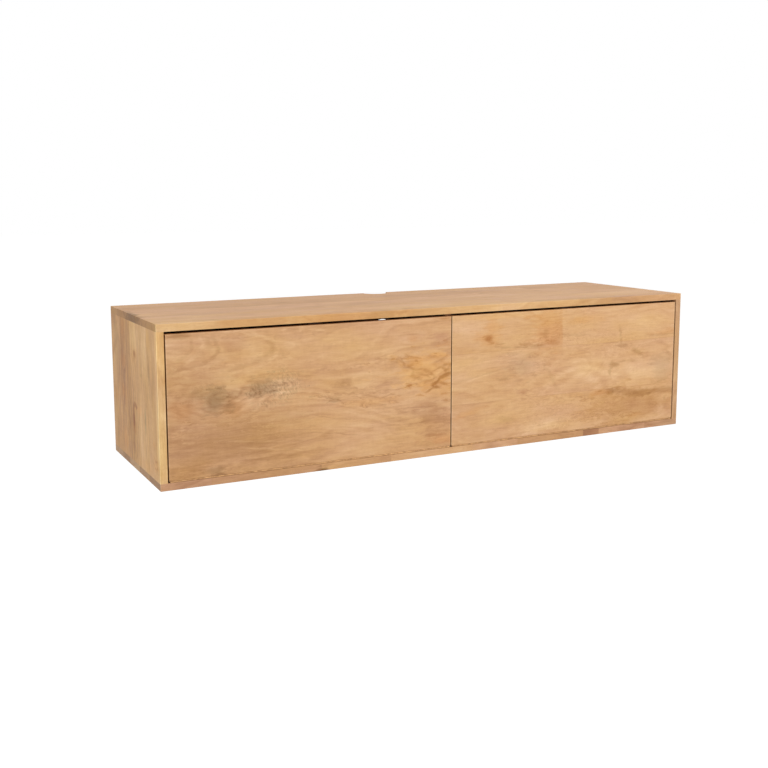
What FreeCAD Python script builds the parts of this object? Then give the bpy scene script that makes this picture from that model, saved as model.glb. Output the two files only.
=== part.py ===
"""Wall-hung media console in solid wood with two drop-down flap doors.

The case is a plain box: the top and bottom panels run over the side panels and are dowelled to
them. A centre divider makes two compartments. Each compartment is closed by an inset flap door on
a continuous hinge along its bottom edge, held level when open by two sliding stays and shut by a
magnetic catch. A recessed back panel leaves a cable channel against the wall, where two pairs of
bevelled cleats carry the case.

Frame: millimetres, +Z up, -Y towards the room, +X to the right for someone who faces the doors.
The origin is the middle of the case's underside.
"""

import FreeCAD
import Part

import os
import re

import Sketcher

Vector = FreeCAD.Vector

# Driving dimensions in millimetres, unless the note says otherwise: name, value, note.
DIMENSIONS = [
    ("case_width", 1400, "overall width"),
    ("case_depth", 400, "overall depth"),
    ("case_height", 350, "overall height"),
    ("case_board", 16, "thickness of the case boards"),
    ("edge_ease", 1.2, "radius of the eased edges"),
    ("back_inset", 40, "depth of the cable channel behind the back panel"),
    ("back_board", 6, "thickness of the back panel"),
    ("groove_depth", 5, "depth of the groove that holds the back panel"),
    ("groove_play", 0.1, "play of the back panel in its groove, each side"),
    ("notch_radius", 34, "radius of the cable notch in the top panel"),
    ("cable_hole_radius", 34, "radius of the cable hole in the back panel"),
    ("cable_hole_drop", 100, "cable hole's centre below the case's top"),
    ("divider_cut_depth", 36, "depth of the divider's cable pass"),
    ("divider_cut_height", 122, "height of the divider's cable pass"),
    ("divider_cut_corner", 12, "corner radius of the divider's cable pass"),
    ("door_board", 16, "thickness of the doors"),
    ("top_gap", 6, "finger gap above the doors"),
    ("side_gap", 3, "gap between a door and its side panel"),
    ("middle_gap", 2.5, "gap between the doors"),
    ("hinge_gap", 3.4, "gap below the doors, filled by the hinge"),
    ("bumper_gap", 1.5, "gap between the doors and the divider's front edge"),
    ("bumper_play", 0.2, "gap between a bumper and the closed door"),
    ("bumper_radius", 2.5, "radius of a bumper"),
    ("bumper_offset", 4.8, "bumper to the divider's centre line"),
    ("bumper_edge", 40, "bumper to the divider's end"),
    ("dowel_radius", 4, "radius of the dowels"),
    ("dowel_play", 0.05, "radial play of a dowel in its hole"),
    ("dowel_panel_depth", 10, "depth of a dowel hole in the top or bottom panel"),
    ("dowel_post_depth", 22, "depth of a dowel hole in a side panel, the divider or a cleat"),
    ("dowel_end_play", 0.5, "play at each end of a dowel"),
    ("dowel_first", 45, "first dowel to the front of the case"),
    ("dowel_pitch", 75, "distance between dowels"),
    ("dowel_rows", 4, "number of dowels in a row"),
    ("cleat_dowel_edge", 60, "end dowel to the end of its cleat"),
    ("cleat_dowels", 3, "number of dowels in a cleat"),
    ("cleat_board", 18, "thickness of the cleats and wall rails, and height of their bevel"),
    ("cleat_height", 50, "height of a case cleat at its wall side"),
    ("rail_height", 50, "height of a wall rail at its front"),
    ("cable_zone", 120, "width kept free of cleats behind the cable hole"),
    ("rail_end_gap", 10, "how much a wall rail is shorter than its cleat at each end"),
    ("rail_hole_radius", 2.75, "radius of the wall screw holes"),
    ("rail_hole_pitch", 220, "distance between wall screw holes"),
    ("rail_hole_height", 16, "wall screw holes above the rail's lower edge"),
    ("rail_holes", 3, "number of wall screw holes in a rail"),
    ("pin_radius", 0.7, "radius of the hinge pin"),
    ("pin_play", 0.05, "radial play of the hinge pin"),
    ("knuckle_radius", 1.5, "radius of the hinge knuckles"),
    ("knuckle_play", 0.3, "gap between two knuckles"),
    ("knuckle_pairs", 13, "number of knuckles on the door leaf"),
    ("knuckle_relief", 0.3, "gap between a knuckle and the other leaf's plate"),
    ("leaf_thickness", 0.8, "thickness of a hinge leaf"),
    ("leaf_width", 13, "width of a hinge leaf from the pin"),
    ("hinge_end_gap", 2, "end of the hinge to the end of the door"),
    ("leaf_screws", 13, "number of screws in a hinge leaf"),
    ("leaf_screw_edge", 18, "end screw to the end of the leaf"),
    ("leaf_screw_line", 8, "hinge pin to the line of the screws"),
    ("screw_radius", 1.2, "radius of a screw's shank"),
    ("screw_head_radius", 2.1, "radius of a screw's head"),
    ("screw_head_height", 0.75, "height of a screw's head"),
    ("screw_length", 12, "length of a screw under its head"),
    ("short_screw_length", 9, "length of a stay bracket's screw under its head"),
    ("screw_hole_play", 0.1, "radial play of a screw in its hole"),
    ("stay_radius", 130, "hinge pin to the stay's stud, and to its foot pivot"),
    ("stud_angle", 58, "angle of the stud above the hinge pin's level, in degrees"),
    ("foot_standoff", 12, "foot pivot to the door's inner face"),
    ("stay_play", 0.3, "gap between a stay arm and what it slides past"),
    ("arm_thickness", 2.5, "thickness of a stay arm"),
    ("arm_width", 12, "width of a stay arm"),
    ("arm_standoff", 6, "stay arm to the panel beside it"),
    ("arm_end", 6, "end of the slot to the end of the arm"),
    ("stud_radius", 2.5, "radius of the stud and of the foot pivot"),
    ("stud_collar_radius", 4.5, "radius of the stud's collar and the heads of stud and pivot"),
    ("stud_head_height", 1.4, "height of the stud's head"),
    ("pivot_head_height", 0.9, "height of the foot pivot's heads"),
    ("plate_thickness", 2, "thickness of the stay brackets and feet"),
    ("bracket_width", 16, "width of a stay bracket"),
    ("bracket_height", 40, "height of a stay bracket"),
    ("bracket_screw_pitch", 26, "distance between a bracket's screws"),
    ("foot_width", 16, "width of a stay foot"),
    ("ear_radius", 8, "radius of a stay foot's ear"),
    ("catch_width", 24, "width of a catch housing"),
    ("catch_depth", 16, "depth of a catch housing"),
    ("catch_flange_width", 46, "width of a catch housing's flange"),
    ("catch_flange", 3, "thickness of a catch housing's flange"),
    ("catch_screw_pitch", 34, "distance between a catch's screws"),
    ("catch_wall", 2, "wall of a catch housing"),
    ("magnet_height", 5, "height of a catch magnet"),
    ("magnet_depth", 10, "depth of a catch magnet"),
    ("pole_thickness", 1.2, "thickness of a pole plate"),
    ("pole_reach", 0.5, "how far the pole plates stand out of the housing"),
    ("pole_play", 0.2, "gap between the pole plates and the closed door's strike"),
    ("strike_width", 40, "width of a strike plate"),
    ("strike_height", 12, "height of a strike plate"),
    ("strike_thickness", 1.2, "thickness of a strike plate"),
    ("strike_edge", 2, "strike plate to the door's top edge"),
    ("strike_screw_pitch", 32, "distance between a strike's screws"),
]

# Sizes and places that follow from the driving dimensions: name, expression.
LAYOUT = [
    ("inner_width", "case_width - 2 * case_board"),
    ("inner_height", "case_height - 2 * case_board"),
    ("front_y", "-case_depth / 2"),
    ("back_front", "case_depth - back_inset - back_board"),
    ("hidden_groove", "groove_depth - groove_play"),
    ("door_width", "(inner_width - 2 * side_gap - middle_gap) / 2"),
    ("door_height", "inner_height - top_gap - hinge_gap"),
    ("door_top_z", "case_height - case_board - top_gap"),
    ("door_inner_y", "front_y + door_board"),
    ("divider_front", "door_board + bumper_gap"),
    ("divider_depth", "back_front - divider_front"),
    ("pin_y", "front_y + knuckle_radius"),
    ("pin_z", "case_board + hinge_gap / 2"),
    ("hinge_length", "door_width - 2 * hinge_end_gap"),
    ("knuckle_pitch", "hinge_length / (2 * knuckle_pairs + 1)"),
    ("leaf_screw_pitch", "(hinge_length - 2 * leaf_screw_edge) / (leaf_screws - 1)"),
    ("foot_y", "door_board - knuckle_radius + foot_standoff"),
    ("foot_z", "sqrt(stay_radius ^ 2 - foot_y ^ 2)"),
    ("stud_y", "stay_radius * cos(stud_angle * 1deg)"),
    ("stud_z", "stay_radius * sin(stud_angle * 1deg)"),
    ("closed_reach", "sqrt((stud_y - foot_y) ^ 2 + (stud_z - foot_z) ^ 2)"),
    ("open_reach", "sqrt((stud_y + foot_z) ^ 2 + (stud_z - foot_y) ^ 2)"),
    ("slot_end", "stud_radius + stay_play"),
    ("arm_inner", "arm_standoff + arm_thickness"),
    ("ear_outer", "arm_inner + stay_play"),
    ("ear_inner", "ear_outer + plate_thickness"),
    ("magnet_z", "door_top_z - strike_edge - strike_height / 2"),
    ("strike_back_y", "door_inner_y + strike_thickness"),
    ("catch_front_y", "strike_back_y + pole_play + pole_reach"),
    ("catch_drop", "case_height - case_board - magnet_z"),
    ("pole_half", "magnet_height / 2 + pole_thickness"),
    ("catch_height", "catch_drop + pole_half + catch_wall"),
    ("cleat_length", "(inner_width - cable_zone) / 2"),
    ("cleat_base_z", "case_height - case_board - cleat_height"),
    ("cleat_dowel_pitch", "(cleat_length - 2 * cleat_dowel_edge) / (cleat_dowels - 1)"),
    ("rail_length", "cleat_length - 2 * rail_end_gap"),
    ("rail_first_hole", "(rail_length - rail_hole_pitch * (rail_holes - 1)) / 2"),
    ("rail_base_z", "cleat_base_z + cleat_board - rail_height"),
    ("post_dowel_length", "dowel_panel_depth + dowel_post_depth - 2 * dowel_end_play"),
]

DIMENSION_NAMES = {name for name, _, _ in DIMENSIONS}
LAYOUT_NAMES = {name for name, _ in LAYOUT}
LEFT = -1
RIGHT = 1
NEAR = 0.001  # how close an edge lies to a plane that it belongs to

document = FreeCAD.newDocument("MediaConsole")
nodes = {}


def bound(expression):
    """Return the expression with each named size pointing to the sheet or the layout."""

    def owner(match):
        word = match.group(0)
        if word in DIMENSION_NAMES:
            return "Dimensions." + word
        if word in LAYOUT_NAMES:
            return "Layout." + word
        return word

    return re.sub(r"[a-z]\w*", owner, str(expression))


def make_sheet():
    """Write the driving dimensions into the spreadsheet, one row each."""
    sheet = document.addObject("Spreadsheet::Sheet", "Dimensions")
    for row, (name, value, note) in enumerate(DIMENSIONS, start=1):
        sheet.set(f"A{row}", note)
        sheet.set(f"B{row}", str(value))
        sheet.setAlias(f"B{row}", name)
    document.recompute()


def make_layout():
    """Hold the derived sizes in one object, each bound to its expression."""
    layout = document.addObject("App::VarSet", "Layout")
    for name, expression in LAYOUT:
        layout.addProperty("App::PropertyFloat", name, "Layout")
        layout.setExpression(name, bound(expression))
    document.recompute()


# ---------------------------------------------------------------- modelling helpers


def place(item, x=0, y=0, z=0, axis=Vector(0, 0, 1), angle=0):
    """Put an object at a place given by expressions, turned about one axis."""
    item.Placement = FreeCAD.Placement(Vector(), FreeCAD.Rotation(axis, 1))
    for name, value in (("Base.x", x), ("Base.y", y), ("Base.z", z)):
        item.setExpression(f"Placement.{name}", bound(value))
    item.setExpression("Placement.Rotation.Angle", bound(angle))


def make_body(label):
    """Make an empty body."""
    body = document.addObject("PartDesign::Body", label)
    body.Label = label
    return body


def origin_feature(body, role):
    """Return the body's origin plane or axis of that role."""
    return next(item for item in body.Origin.OriginFeatures if item.Role == role)


def sketch_on(body, plane, offset=0):
    """Attach a new sketch to an origin plane, moved along the plane's normal."""
    sketch = body.newObject("Sketcher::SketchObject", "Sketch")
    sketch.AttachmentSupport = [(origin_feature(body, plane), "")]
    sketch.MapMode = "FlatFace"
    sketch.setExpression("AttachmentOffset.Base.z", bound(offset))
    return sketch


def constrain(sketch, kind, geometry, point, expression, start):
    """Hold one coordinate of a point at an expression, measured from the sketch's origin."""
    index = sketch.addConstraint(Sketcher.Constraint(kind, -1, 1, geometry, point, start))
    sketch.setExpression(f"Constraints[{index}]", bound(expression))


def value_of(expression):
    """Work out an expression with the present sizes."""
    return float(document.getObject("Layout").evalExpression(bound(expression)))


def polygon(sketch, corners):
    """Draw a closed outline whose corners are pairs of expressions."""
    points = [Vector(value_of(x), value_of(y), 0) for x, y in corners]
    first = sketch.GeometryCount
    count = len(points)
    for index in range(count):
        sketch.addGeometry(Part.LineSegment(points[index], points[(index + 1) % count]))
    for index in range(count):
        following = first + (index + 1) % count
        sketch.addConstraint(Sketcher.Constraint("Coincident", first + index, 2, following, 1))
    for index, (x, y) in enumerate(corners):
        constrain(sketch, "DistanceX", first + index, 1, x, points[index].x)
        constrain(sketch, "DistanceY", first + index, 1, y, points[index].y)


def rectangle(sketch, left, bottom, right, top):
    """Draw a rectangle whose sides lie at the four expressions."""
    polygon(sketch, [(left, bottom), (right, bottom), (right, top), (left, top)])


def circle(sketch, x, y, radius):
    """Draw a circle whose centre and radius are expressions."""
    centre = Vector(value_of(x), value_of(y), 0)
    start = value_of(radius)
    index = sketch.addGeometry(Part.Circle(centre, Vector(0, 0, 1), start))
    constrain(sketch, "DistanceX", index, 3, x, centre.x)
    constrain(sketch, "DistanceY", index, 3, y, centre.y)
    held = sketch.addConstraint(Sketcher.Constraint("Radius", index, start))
    sketch.setExpression(f"Constraints[{held}]", bound(radius))


def pad(body, sketch, length, backwards=False):
    """Add material from a sketch along its normal, or against it."""
    feature = body.newObject("PartDesign::Pad", "Pad")
    feature.Profile = sketch
    feature.Reversed = backwards
    feature.setExpression("Length", bound(length))
    return feature


def pocket(body, sketch, depth=None, forwards=False):
    """Cut a sketch out of the body against its normal, or along it; all the way without depth."""
    before = solid_volume(body)
    feature = body.newObject("PartDesign::Pocket", "Pocket")
    feature.Profile = sketch
    feature.Reversed = forwards
    if depth is None:
        feature.Type = "ThroughAll"
    else:
        feature.setExpression("Length", bound(depth))
    document.recompute()
    if solid_volume(body) >= before:
        raise RuntimeError(f"{body.Label}: {feature.Name} cuts nothing")
    return feature


def row_of(body, features, axis, count, pitch, backwards=False):
    """Repeat features in a row along an origin axis."""
    pattern = body.newObject("PartDesign::LinearPattern", "Row")
    pattern.Originals = features
    pattern.Direction = (origin_feature(body, axis), [""])
    pattern.Reversed = backwards
    pattern.Mode = "Spacing"
    pattern.setExpression("Offset", bound(pitch))
    pattern.setExpression("Occurrences", bound(count))
    body.Tip = pattern
    return pattern


def ease(body, radius, chosen):
    """Round the edges of the body for which chosen(edge) is true."""
    document.recompute()
    feature = body.Tip
    edges = enumerate(feature.Shape.Edges, start=1)
    names = [f"Edge{index}" for index, edge in edges if chosen(edge)]
    fillet = body.newObject("PartDesign::Fillet", "Eased")
    fillet.Base = (feature, names)
    fillet.setExpression("Radius", bound(radius))
    document.recompute()
    return fillet


def on_plane(edge, axis, place_along):
    """Tell if a whole edge lies on a plane square to an axis."""
    box = edge.BoundBox
    spans = {"x": (box.XMin, box.XMax), "y": (box.YMin, box.YMax), "z": (box.ZMin, box.ZMax)}
    return all(abs(end - place_along) < NEAR for end in spans[axis])


def solid_volume(body):
    """Return the body's present volume, worked out afresh."""
    document.recompute()
    return body.Shape.Volume


def keep(label, item):
    """Name an object as one of the parts that are written."""
    item.Label = label
    nodes[label] = item
    return item


def keep_group(label, items):
    """Join separate solids under one name."""
    group = document.addObject("Part::Compound", label)
    group.Links = items
    return keep(label, group)


# ---------------------------------------------------------------- case boards


def horizontal_panel(label, base_z, is_top):
    """Make the top or bottom panel: grooved and drilled on its inner face."""
    inner_z = "0" if is_top else "case_board"
    outer_z = value_of("case_board") if is_top else 0
    body = make_body(label)
    place(body, "-case_width / 2", "front_y", base_z)

    outline = sketch_on(body, "XY_Plane")
    rectangle(outline, "0", "0", "case_width", "case_depth")
    pad(body, outline, "case_board")

    groove = sketch_on(body, "XY_Plane", inner_z)
    rectangle(
        groove,
        "case_board - groove_depth",
        "back_front - groove_play",
        "case_width - case_board + groove_depth",
        "back_front + back_board + groove_play",
    )
    pocket(body, groove, "groove_depth", forwards=is_top)

    if is_top:
        notch = sketch_on(body, "XY_Plane")
        circle(notch, "case_width / 2", "case_depth", "notch_radius")
        pocket(body, notch, forwards=True)
        for first in ("case_board", "case_width / 2 + cable_zone / 2"):
            cleat_hole = sketch_on(body, "XY_Plane")
            circle(
                cleat_hole,
                f"{first} + cleat_dowel_edge",
                "case_depth - cleat_board / 2",
                "dowel_radius + dowel_play",
            )
            drilled = pocket(body, cleat_hole, "dowel_panel_depth", forwards=True)
            row_of(body, [drilled], "X_Axis", "cleat_dowels", "cleat_dowel_pitch")

    holes = sketch_on(body, "XY_Plane", inner_z)
    for column in ("case_board / 2", "case_width / 2", "case_width - case_board / 2"):
        circle(holes, column, "dowel_first", "dowel_radius + dowel_play")
    drilled = pocket(body, holes, "dowel_panel_depth", forwards=is_top)
    row_of(body, [drilled], "Y_Axis", "dowel_rows", "dowel_pitch")

    width = value_of("case_width")
    depth = value_of("case_depth")

    def outside(edge):
        corner = on_plane(edge, "x", 0) or on_plane(edge, "x", width)
        corner = corner and (on_plane(edge, "y", 0) or on_plane(edge, "y", depth))
        return on_plane(edge, "z", outer_z) or corner

    ease(body, "edge_ease", outside)
    return keep(label, body)


def drill_ends(body, column, first):
    """Drill the dowel rows into a board's lower and upper ends."""
    lower = sketch_on(body, "XY_Plane")
    circle(lower, column, first, "dowel_radius + dowel_play")
    upper = sketch_on(body, "XY_Plane", "inner_height")
    circle(upper, column, first, "dowel_radius + dowel_play")
    holes = [
        pocket(body, lower, "dowel_post_depth", forwards=True),
        pocket(body, upper, "dowel_post_depth"),
    ]
    row_of(body, holes, "Y_Axis", "dowel_rows", "dowel_pitch")


def side_panel(label, side):
    """Make a side panel: grooved on its inner face and drilled in both ends."""
    body = make_body(label)
    base_x = "-case_width / 2" if side == LEFT else "case_width / 2 - case_board"
    place(body, base_x, "front_y", "case_board")

    outline = sketch_on(body, "XY_Plane")
    rectangle(outline, "0", "0", "case_board", "case_depth")
    pad(body, outline, "inner_height")

    groove = sketch_on(body, "XY_Plane")
    near_x, far_x = ("case_board - groove_depth", "case_board") if side == LEFT else ("0", "groove_depth")
    rectangle(groove, near_x, "back_front - groove_play", far_x, "back_front + back_board + groove_play")
    pocket(body, groove, forwards=True)
    drill_ends(body, "case_board / 2", "dowel_first")

    outer_x = 0 if side == LEFT else value_of("case_board")
    depth = value_of("case_depth")

    def outside(edge):
        return on_plane(edge, "x", outer_x) and (on_plane(edge, "y", 0) or on_plane(edge, "y", depth))

    ease(body, "edge_ease", outside)
    return keep(label, body)


def centre_divider():
    """Make the divider, with a rounded cable pass in its upper rear corner."""
    label = "centre_divider"
    body = make_body(label)
    place(body, "-case_board / 2", "front_y + divider_front", "case_board")

    outline = sketch_on(body, "XY_Plane")
    rectangle(outline, "0", "0", "case_board", "divider_depth")
    pad(body, outline, "inner_height")
    drill_ends(body, "case_board / 2", "dowel_first - divider_front")

    cable_pass = sketch_on(body, "YZ_Plane")
    cut_front = "divider_depth - divider_cut_depth"
    cut_base = "inner_height - divider_cut_height"
    rectangle(cable_pass, cut_front, cut_base, "divider_depth", "inner_height")
    pocket(body, cable_pass, forwards=True)

    corner_y = value_of(cut_front)
    corner_z = value_of(cut_base)

    def inner_corner(edge):
        return on_plane(edge, "y", corner_y) and on_plane(edge, "z", corner_z)

    ease(body, "divider_cut_corner", inner_corner)
    return keep(label, body)


def back_panel():
    """Make the back panel, which sits in the groove all round."""
    label = "back_panel"
    body = make_body(label)
    place(
        body,
        "-inner_width / 2 - hidden_groove",
        "front_y + back_front",
        "case_board - hidden_groove",
    )
    outline = sketch_on(body, "XZ_Plane")
    rectangle(
        outline,
        "0",
        "0",
        "inner_width + 2 * hidden_groove",
        "inner_height + 2 * hidden_groove",
    )
    pad(body, outline, "back_board", backwards=True)

    hole = sketch_on(body, "XZ_Plane")
    circle(
        hole,
        "inner_width / 2 + hidden_groove",
        "case_height - cable_hole_drop - case_board + hidden_groove",
        "cable_hole_radius",
    )
    pocket(body, hole)
    return keep(label, body)


def dowel_row(name, x, y, z, axis, count, pitch):
    """Make a row of upright dowels that starts at a place."""
    body = make_body(name)
    place(body, x, y, z)
    section = sketch_on(body, "XY_Plane")
    circle(section, "0", "0", "dowel_radius")
    dowel = pad(body, section, "post_dowel_length")
    row_of(body, [dowel], axis, count, pitch)
    return body


def case_dowels():
    """Make the dowels between the upright boards and the top and bottom panels."""
    columns = ("-case_width / 2 + case_board / 2", "0", "case_width / 2 - case_board / 2")
    lower = "case_board - dowel_panel_depth + dowel_end_play"
    upper = "case_height - case_board - dowel_post_depth + dowel_end_play"
    first = "front_y + dowel_first"
    rows = [
        dowel_row("Dowels", column, first, base, "Y_Axis", "dowel_rows", "dowel_pitch")
        for column in columns
        for base in (lower, upper)
    ]
    return keep_group("case_dowels", rows)


# ---------------------------------------------------------------- hanging rails


def bevelled_strip(label, x, z, length, corners):
    """Make a strip along X from its section, against the wall plane."""
    body = make_body(label)
    place(body, x, "case_depth / 2 - cleat_board", z)
    section = sketch_on(body, "YZ_Plane")
    polygon(section, corners)
    pad(body, section, length)
    return body


def case_cleat(label, x):
    """Make a case cleat, whose bevelled lower edge hooks over the wall rail."""
    corners = [
        ("0", "cleat_board"),
        ("cleat_board", "0"),
        ("cleat_board", "cleat_height"),
        ("0", "cleat_height"),
    ]
    body = bevelled_strip(label, x, "cleat_base_z", "cleat_length", corners)
    hole = sketch_on(body, "XY_Plane", "cleat_height")
    circle(hole, "cleat_dowel_edge", "cleat_board / 2", "dowel_radius + dowel_play")
    drilled = pocket(body, hole, "dowel_post_depth")
    row_of(body, [drilled], "X_Axis", "cleat_dowels", "cleat_dowel_pitch")
    return keep(label, body)


def wall_rail(label, x):
    """Make a wall rail with its row of wall screw holes."""
    corners = [
        ("0", "0"),
        ("cleat_board", "0"),
        ("cleat_board", "rail_height - cleat_board"),
        ("0", "rail_height"),
    ]
    body = bevelled_strip(label, f"{x} + rail_end_gap", "rail_base_z", "rail_length", corners)
    hole = sketch_on(body, "XZ_Plane")
    circle(hole, "rail_first_hole", "rail_hole_height", "rail_hole_radius")
    drilled = pocket(body, hole)
    row_of(body, [drilled], "X_Axis", "rail_holes", "rail_hole_pitch")
    return keep(label, body)


def hanging_rails():
    """Make a cleat and a wall rail on each side of the cable zone, and the cleats' dowels."""
    rows = []
    for name, x in (("left", "-inner_width / 2"), ("right", "cable_zone / 2")):
        case_cleat(f"{name}_case_cleat", x)
        wall_rail(f"{name}_wall_rail", x)
        rows.append(
            dowel_row(
                "Dowels",
                f"{x} + cleat_dowel_edge",
                "case_depth / 2 - cleat_board / 2",
                "case_height - case_board - dowel_post_depth + dowel_end_play",
                "X_Axis",
                "cleat_dowels",
                "cleat_dowel_pitch",
            )
        )
    keep_group("cleat_dowels", rows)


# ---------------------------------------------------------------- screws


def screw_row(name, x, y, z, head_axis, count="1", pitch="0", length="screw_length"):
    """Make a row of round-head screws, the first at the given place.

    A screw's origin is where its head meets the plate, and head_axis says where its head points.
    The row runs along +X, but a row whose heads point to +X runs down and one to -X runs up.
    """
    turns = {
        "+Z": (Vector(1, 0, 0), "0"),
        "-Z": (Vector(1, 0, 0), "180"),
        "+Y": (Vector(1, 0, 0), "-90"),
        "+X": (Vector(0, 1, 0), "90"),
        "-X": (Vector(0, 1, 0), "-90"),
    }
    body = make_body(name)
    axis, angle = turns[head_axis]
    place(body, x, y, z, axis, angle)
    head = sketch_on(body, "XY_Plane")
    circle(head, "0", "0", "screw_head_radius")
    shank = sketch_on(body, "XY_Plane")
    circle(shank, "0", "0", "screw_radius")
    features = [
        pad(body, head, "screw_head_height"),
        pad(body, shank, length, backwards=True),
    ]
    if count != "1":
        row_of(body, features, "X_Axis", count, pitch)
    return body


# ---------------------------------------------------------------- doors and hinges


def door_left_x(side):
    """Return where the door's left edge lies."""
    return "-inner_width / 2 + side_gap" if side == LEFT else "middle_gap / 2"


def door_centre_x(side):
    """Return where the door's middle lies."""
    return f"{door_left_x(side)} + door_width / 2"


def door_panel(name, side):
    """Make a door panel with eased edges."""
    body = make_body(f"{name}_door_panel")
    place(body, door_left_x(side), "front_y", "case_board + hinge_gap")
    outline = sketch_on(body, "XZ_Plane")
    rectangle(outline, "0", "0", "door_width", "door_height")
    pad(body, outline, "door_board", backwards=True)
    thickness = value_of("door_board")
    ease(body, "edge_ease", lambda edge: on_plane(edge, "y", 0) or on_plane(edge, "y", thickness))
    return keep(body.Label, body)


def hinge_leaf(label, side, is_door_leaf):
    """Make one leaf of a continuous hinge, drawn about its pin from the left end.

    The leaf's plate lies against the wood below the pin, or above it for the door leaf. The
    knuckles of the two leaves take turns along the pin, and the case leaf has the end ones.
    """
    up = "" if is_door_leaf else "-"
    body = make_body(label)
    place(body, f"{door_left_x(side)} + hinge_end_gap", "pin_y", "pin_z")
    outer_z = f"{up}hinge_gap / 2"
    inner_z = f"{up}(hinge_gap / 2 - leaf_thickness)"

    plate = sketch_on(body, "YZ_Plane")
    rectangle(plate, "knuckle_radius + knuckle_relief", outer_z, "leaf_width", inner_z)
    pad(body, plate, "hinge_length")

    first = "knuckle_pitch" if is_door_leaf else "0"
    start = f"{first} + knuckle_play / 2"
    knuckle = sketch_on(body, "YZ_Plane", start)
    circle(knuckle, "0", "0", "knuckle_radius")
    web = sketch_on(body, "YZ_Plane", start)
    rectangle(web, "0", outer_z, "knuckle_radius + knuckle_relief", inner_z)
    length = "knuckle_pitch - knuckle_play"
    barrel = [pad(body, web, length), pad(body, knuckle, length)]
    count = "knuckle_pairs" if is_door_leaf else "knuckle_pairs + 1"
    row_of(body, barrel, "X_Axis", count, "2 * knuckle_pitch")

    bore = sketch_on(body, "YZ_Plane")
    circle(bore, "0", "0", "pin_radius + pin_play")
    pocket(body, bore, forwards=True)

    holes = sketch_on(body, "XY_Plane", outer_z)
    circle(holes, "leaf_screw_edge", "leaf_screw_line", "screw_radius + screw_hole_play")
    drilled = pocket(body, holes, "leaf_thickness", forwards=not is_door_leaf)
    row_of(body, [drilled], "X_Axis", "leaf_screws", "leaf_screw_pitch")
    return keep(label, body)


def hinge(name, side):
    """Make a door's continuous hinge: two leaves, the pin and the screws of each leaf."""
    hinge_leaf(f"{name}_hinge_case_leaf", side, is_door_leaf=False)
    hinge_leaf(f"{name}_hinge_door_leaf", side, is_door_leaf=True)

    pin = make_body(f"{name}_hinge_pin")
    place(pin, f"{door_left_x(side)} + hinge_end_gap", "pin_y", "pin_z")
    section = sketch_on(pin, "YZ_Plane")
    circle(section, "0", "0", "pin_radius")
    pad(pin, section, "hinge_length")
    keep(pin.Label, pin)

    first_x = f"{door_left_x(side)} + hinge_end_gap + leaf_screw_edge"
    line_y = "pin_y + leaf_screw_line"
    case_z = "case_board + leaf_thickness"
    door_z = "case_board + hinge_gap - leaf_thickness"
    for leaf, z, head in (("case", case_z, "+Z"), ("door", door_z, "-Z")):
        label = f"{name}_hinge_{leaf}_screws"
        row = screw_row(label, first_x, line_y, z, head, "leaf_screws", "leaf_screw_pitch")
        keep(label, row)


# ---------------------------------------------------------------- flap stays


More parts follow.
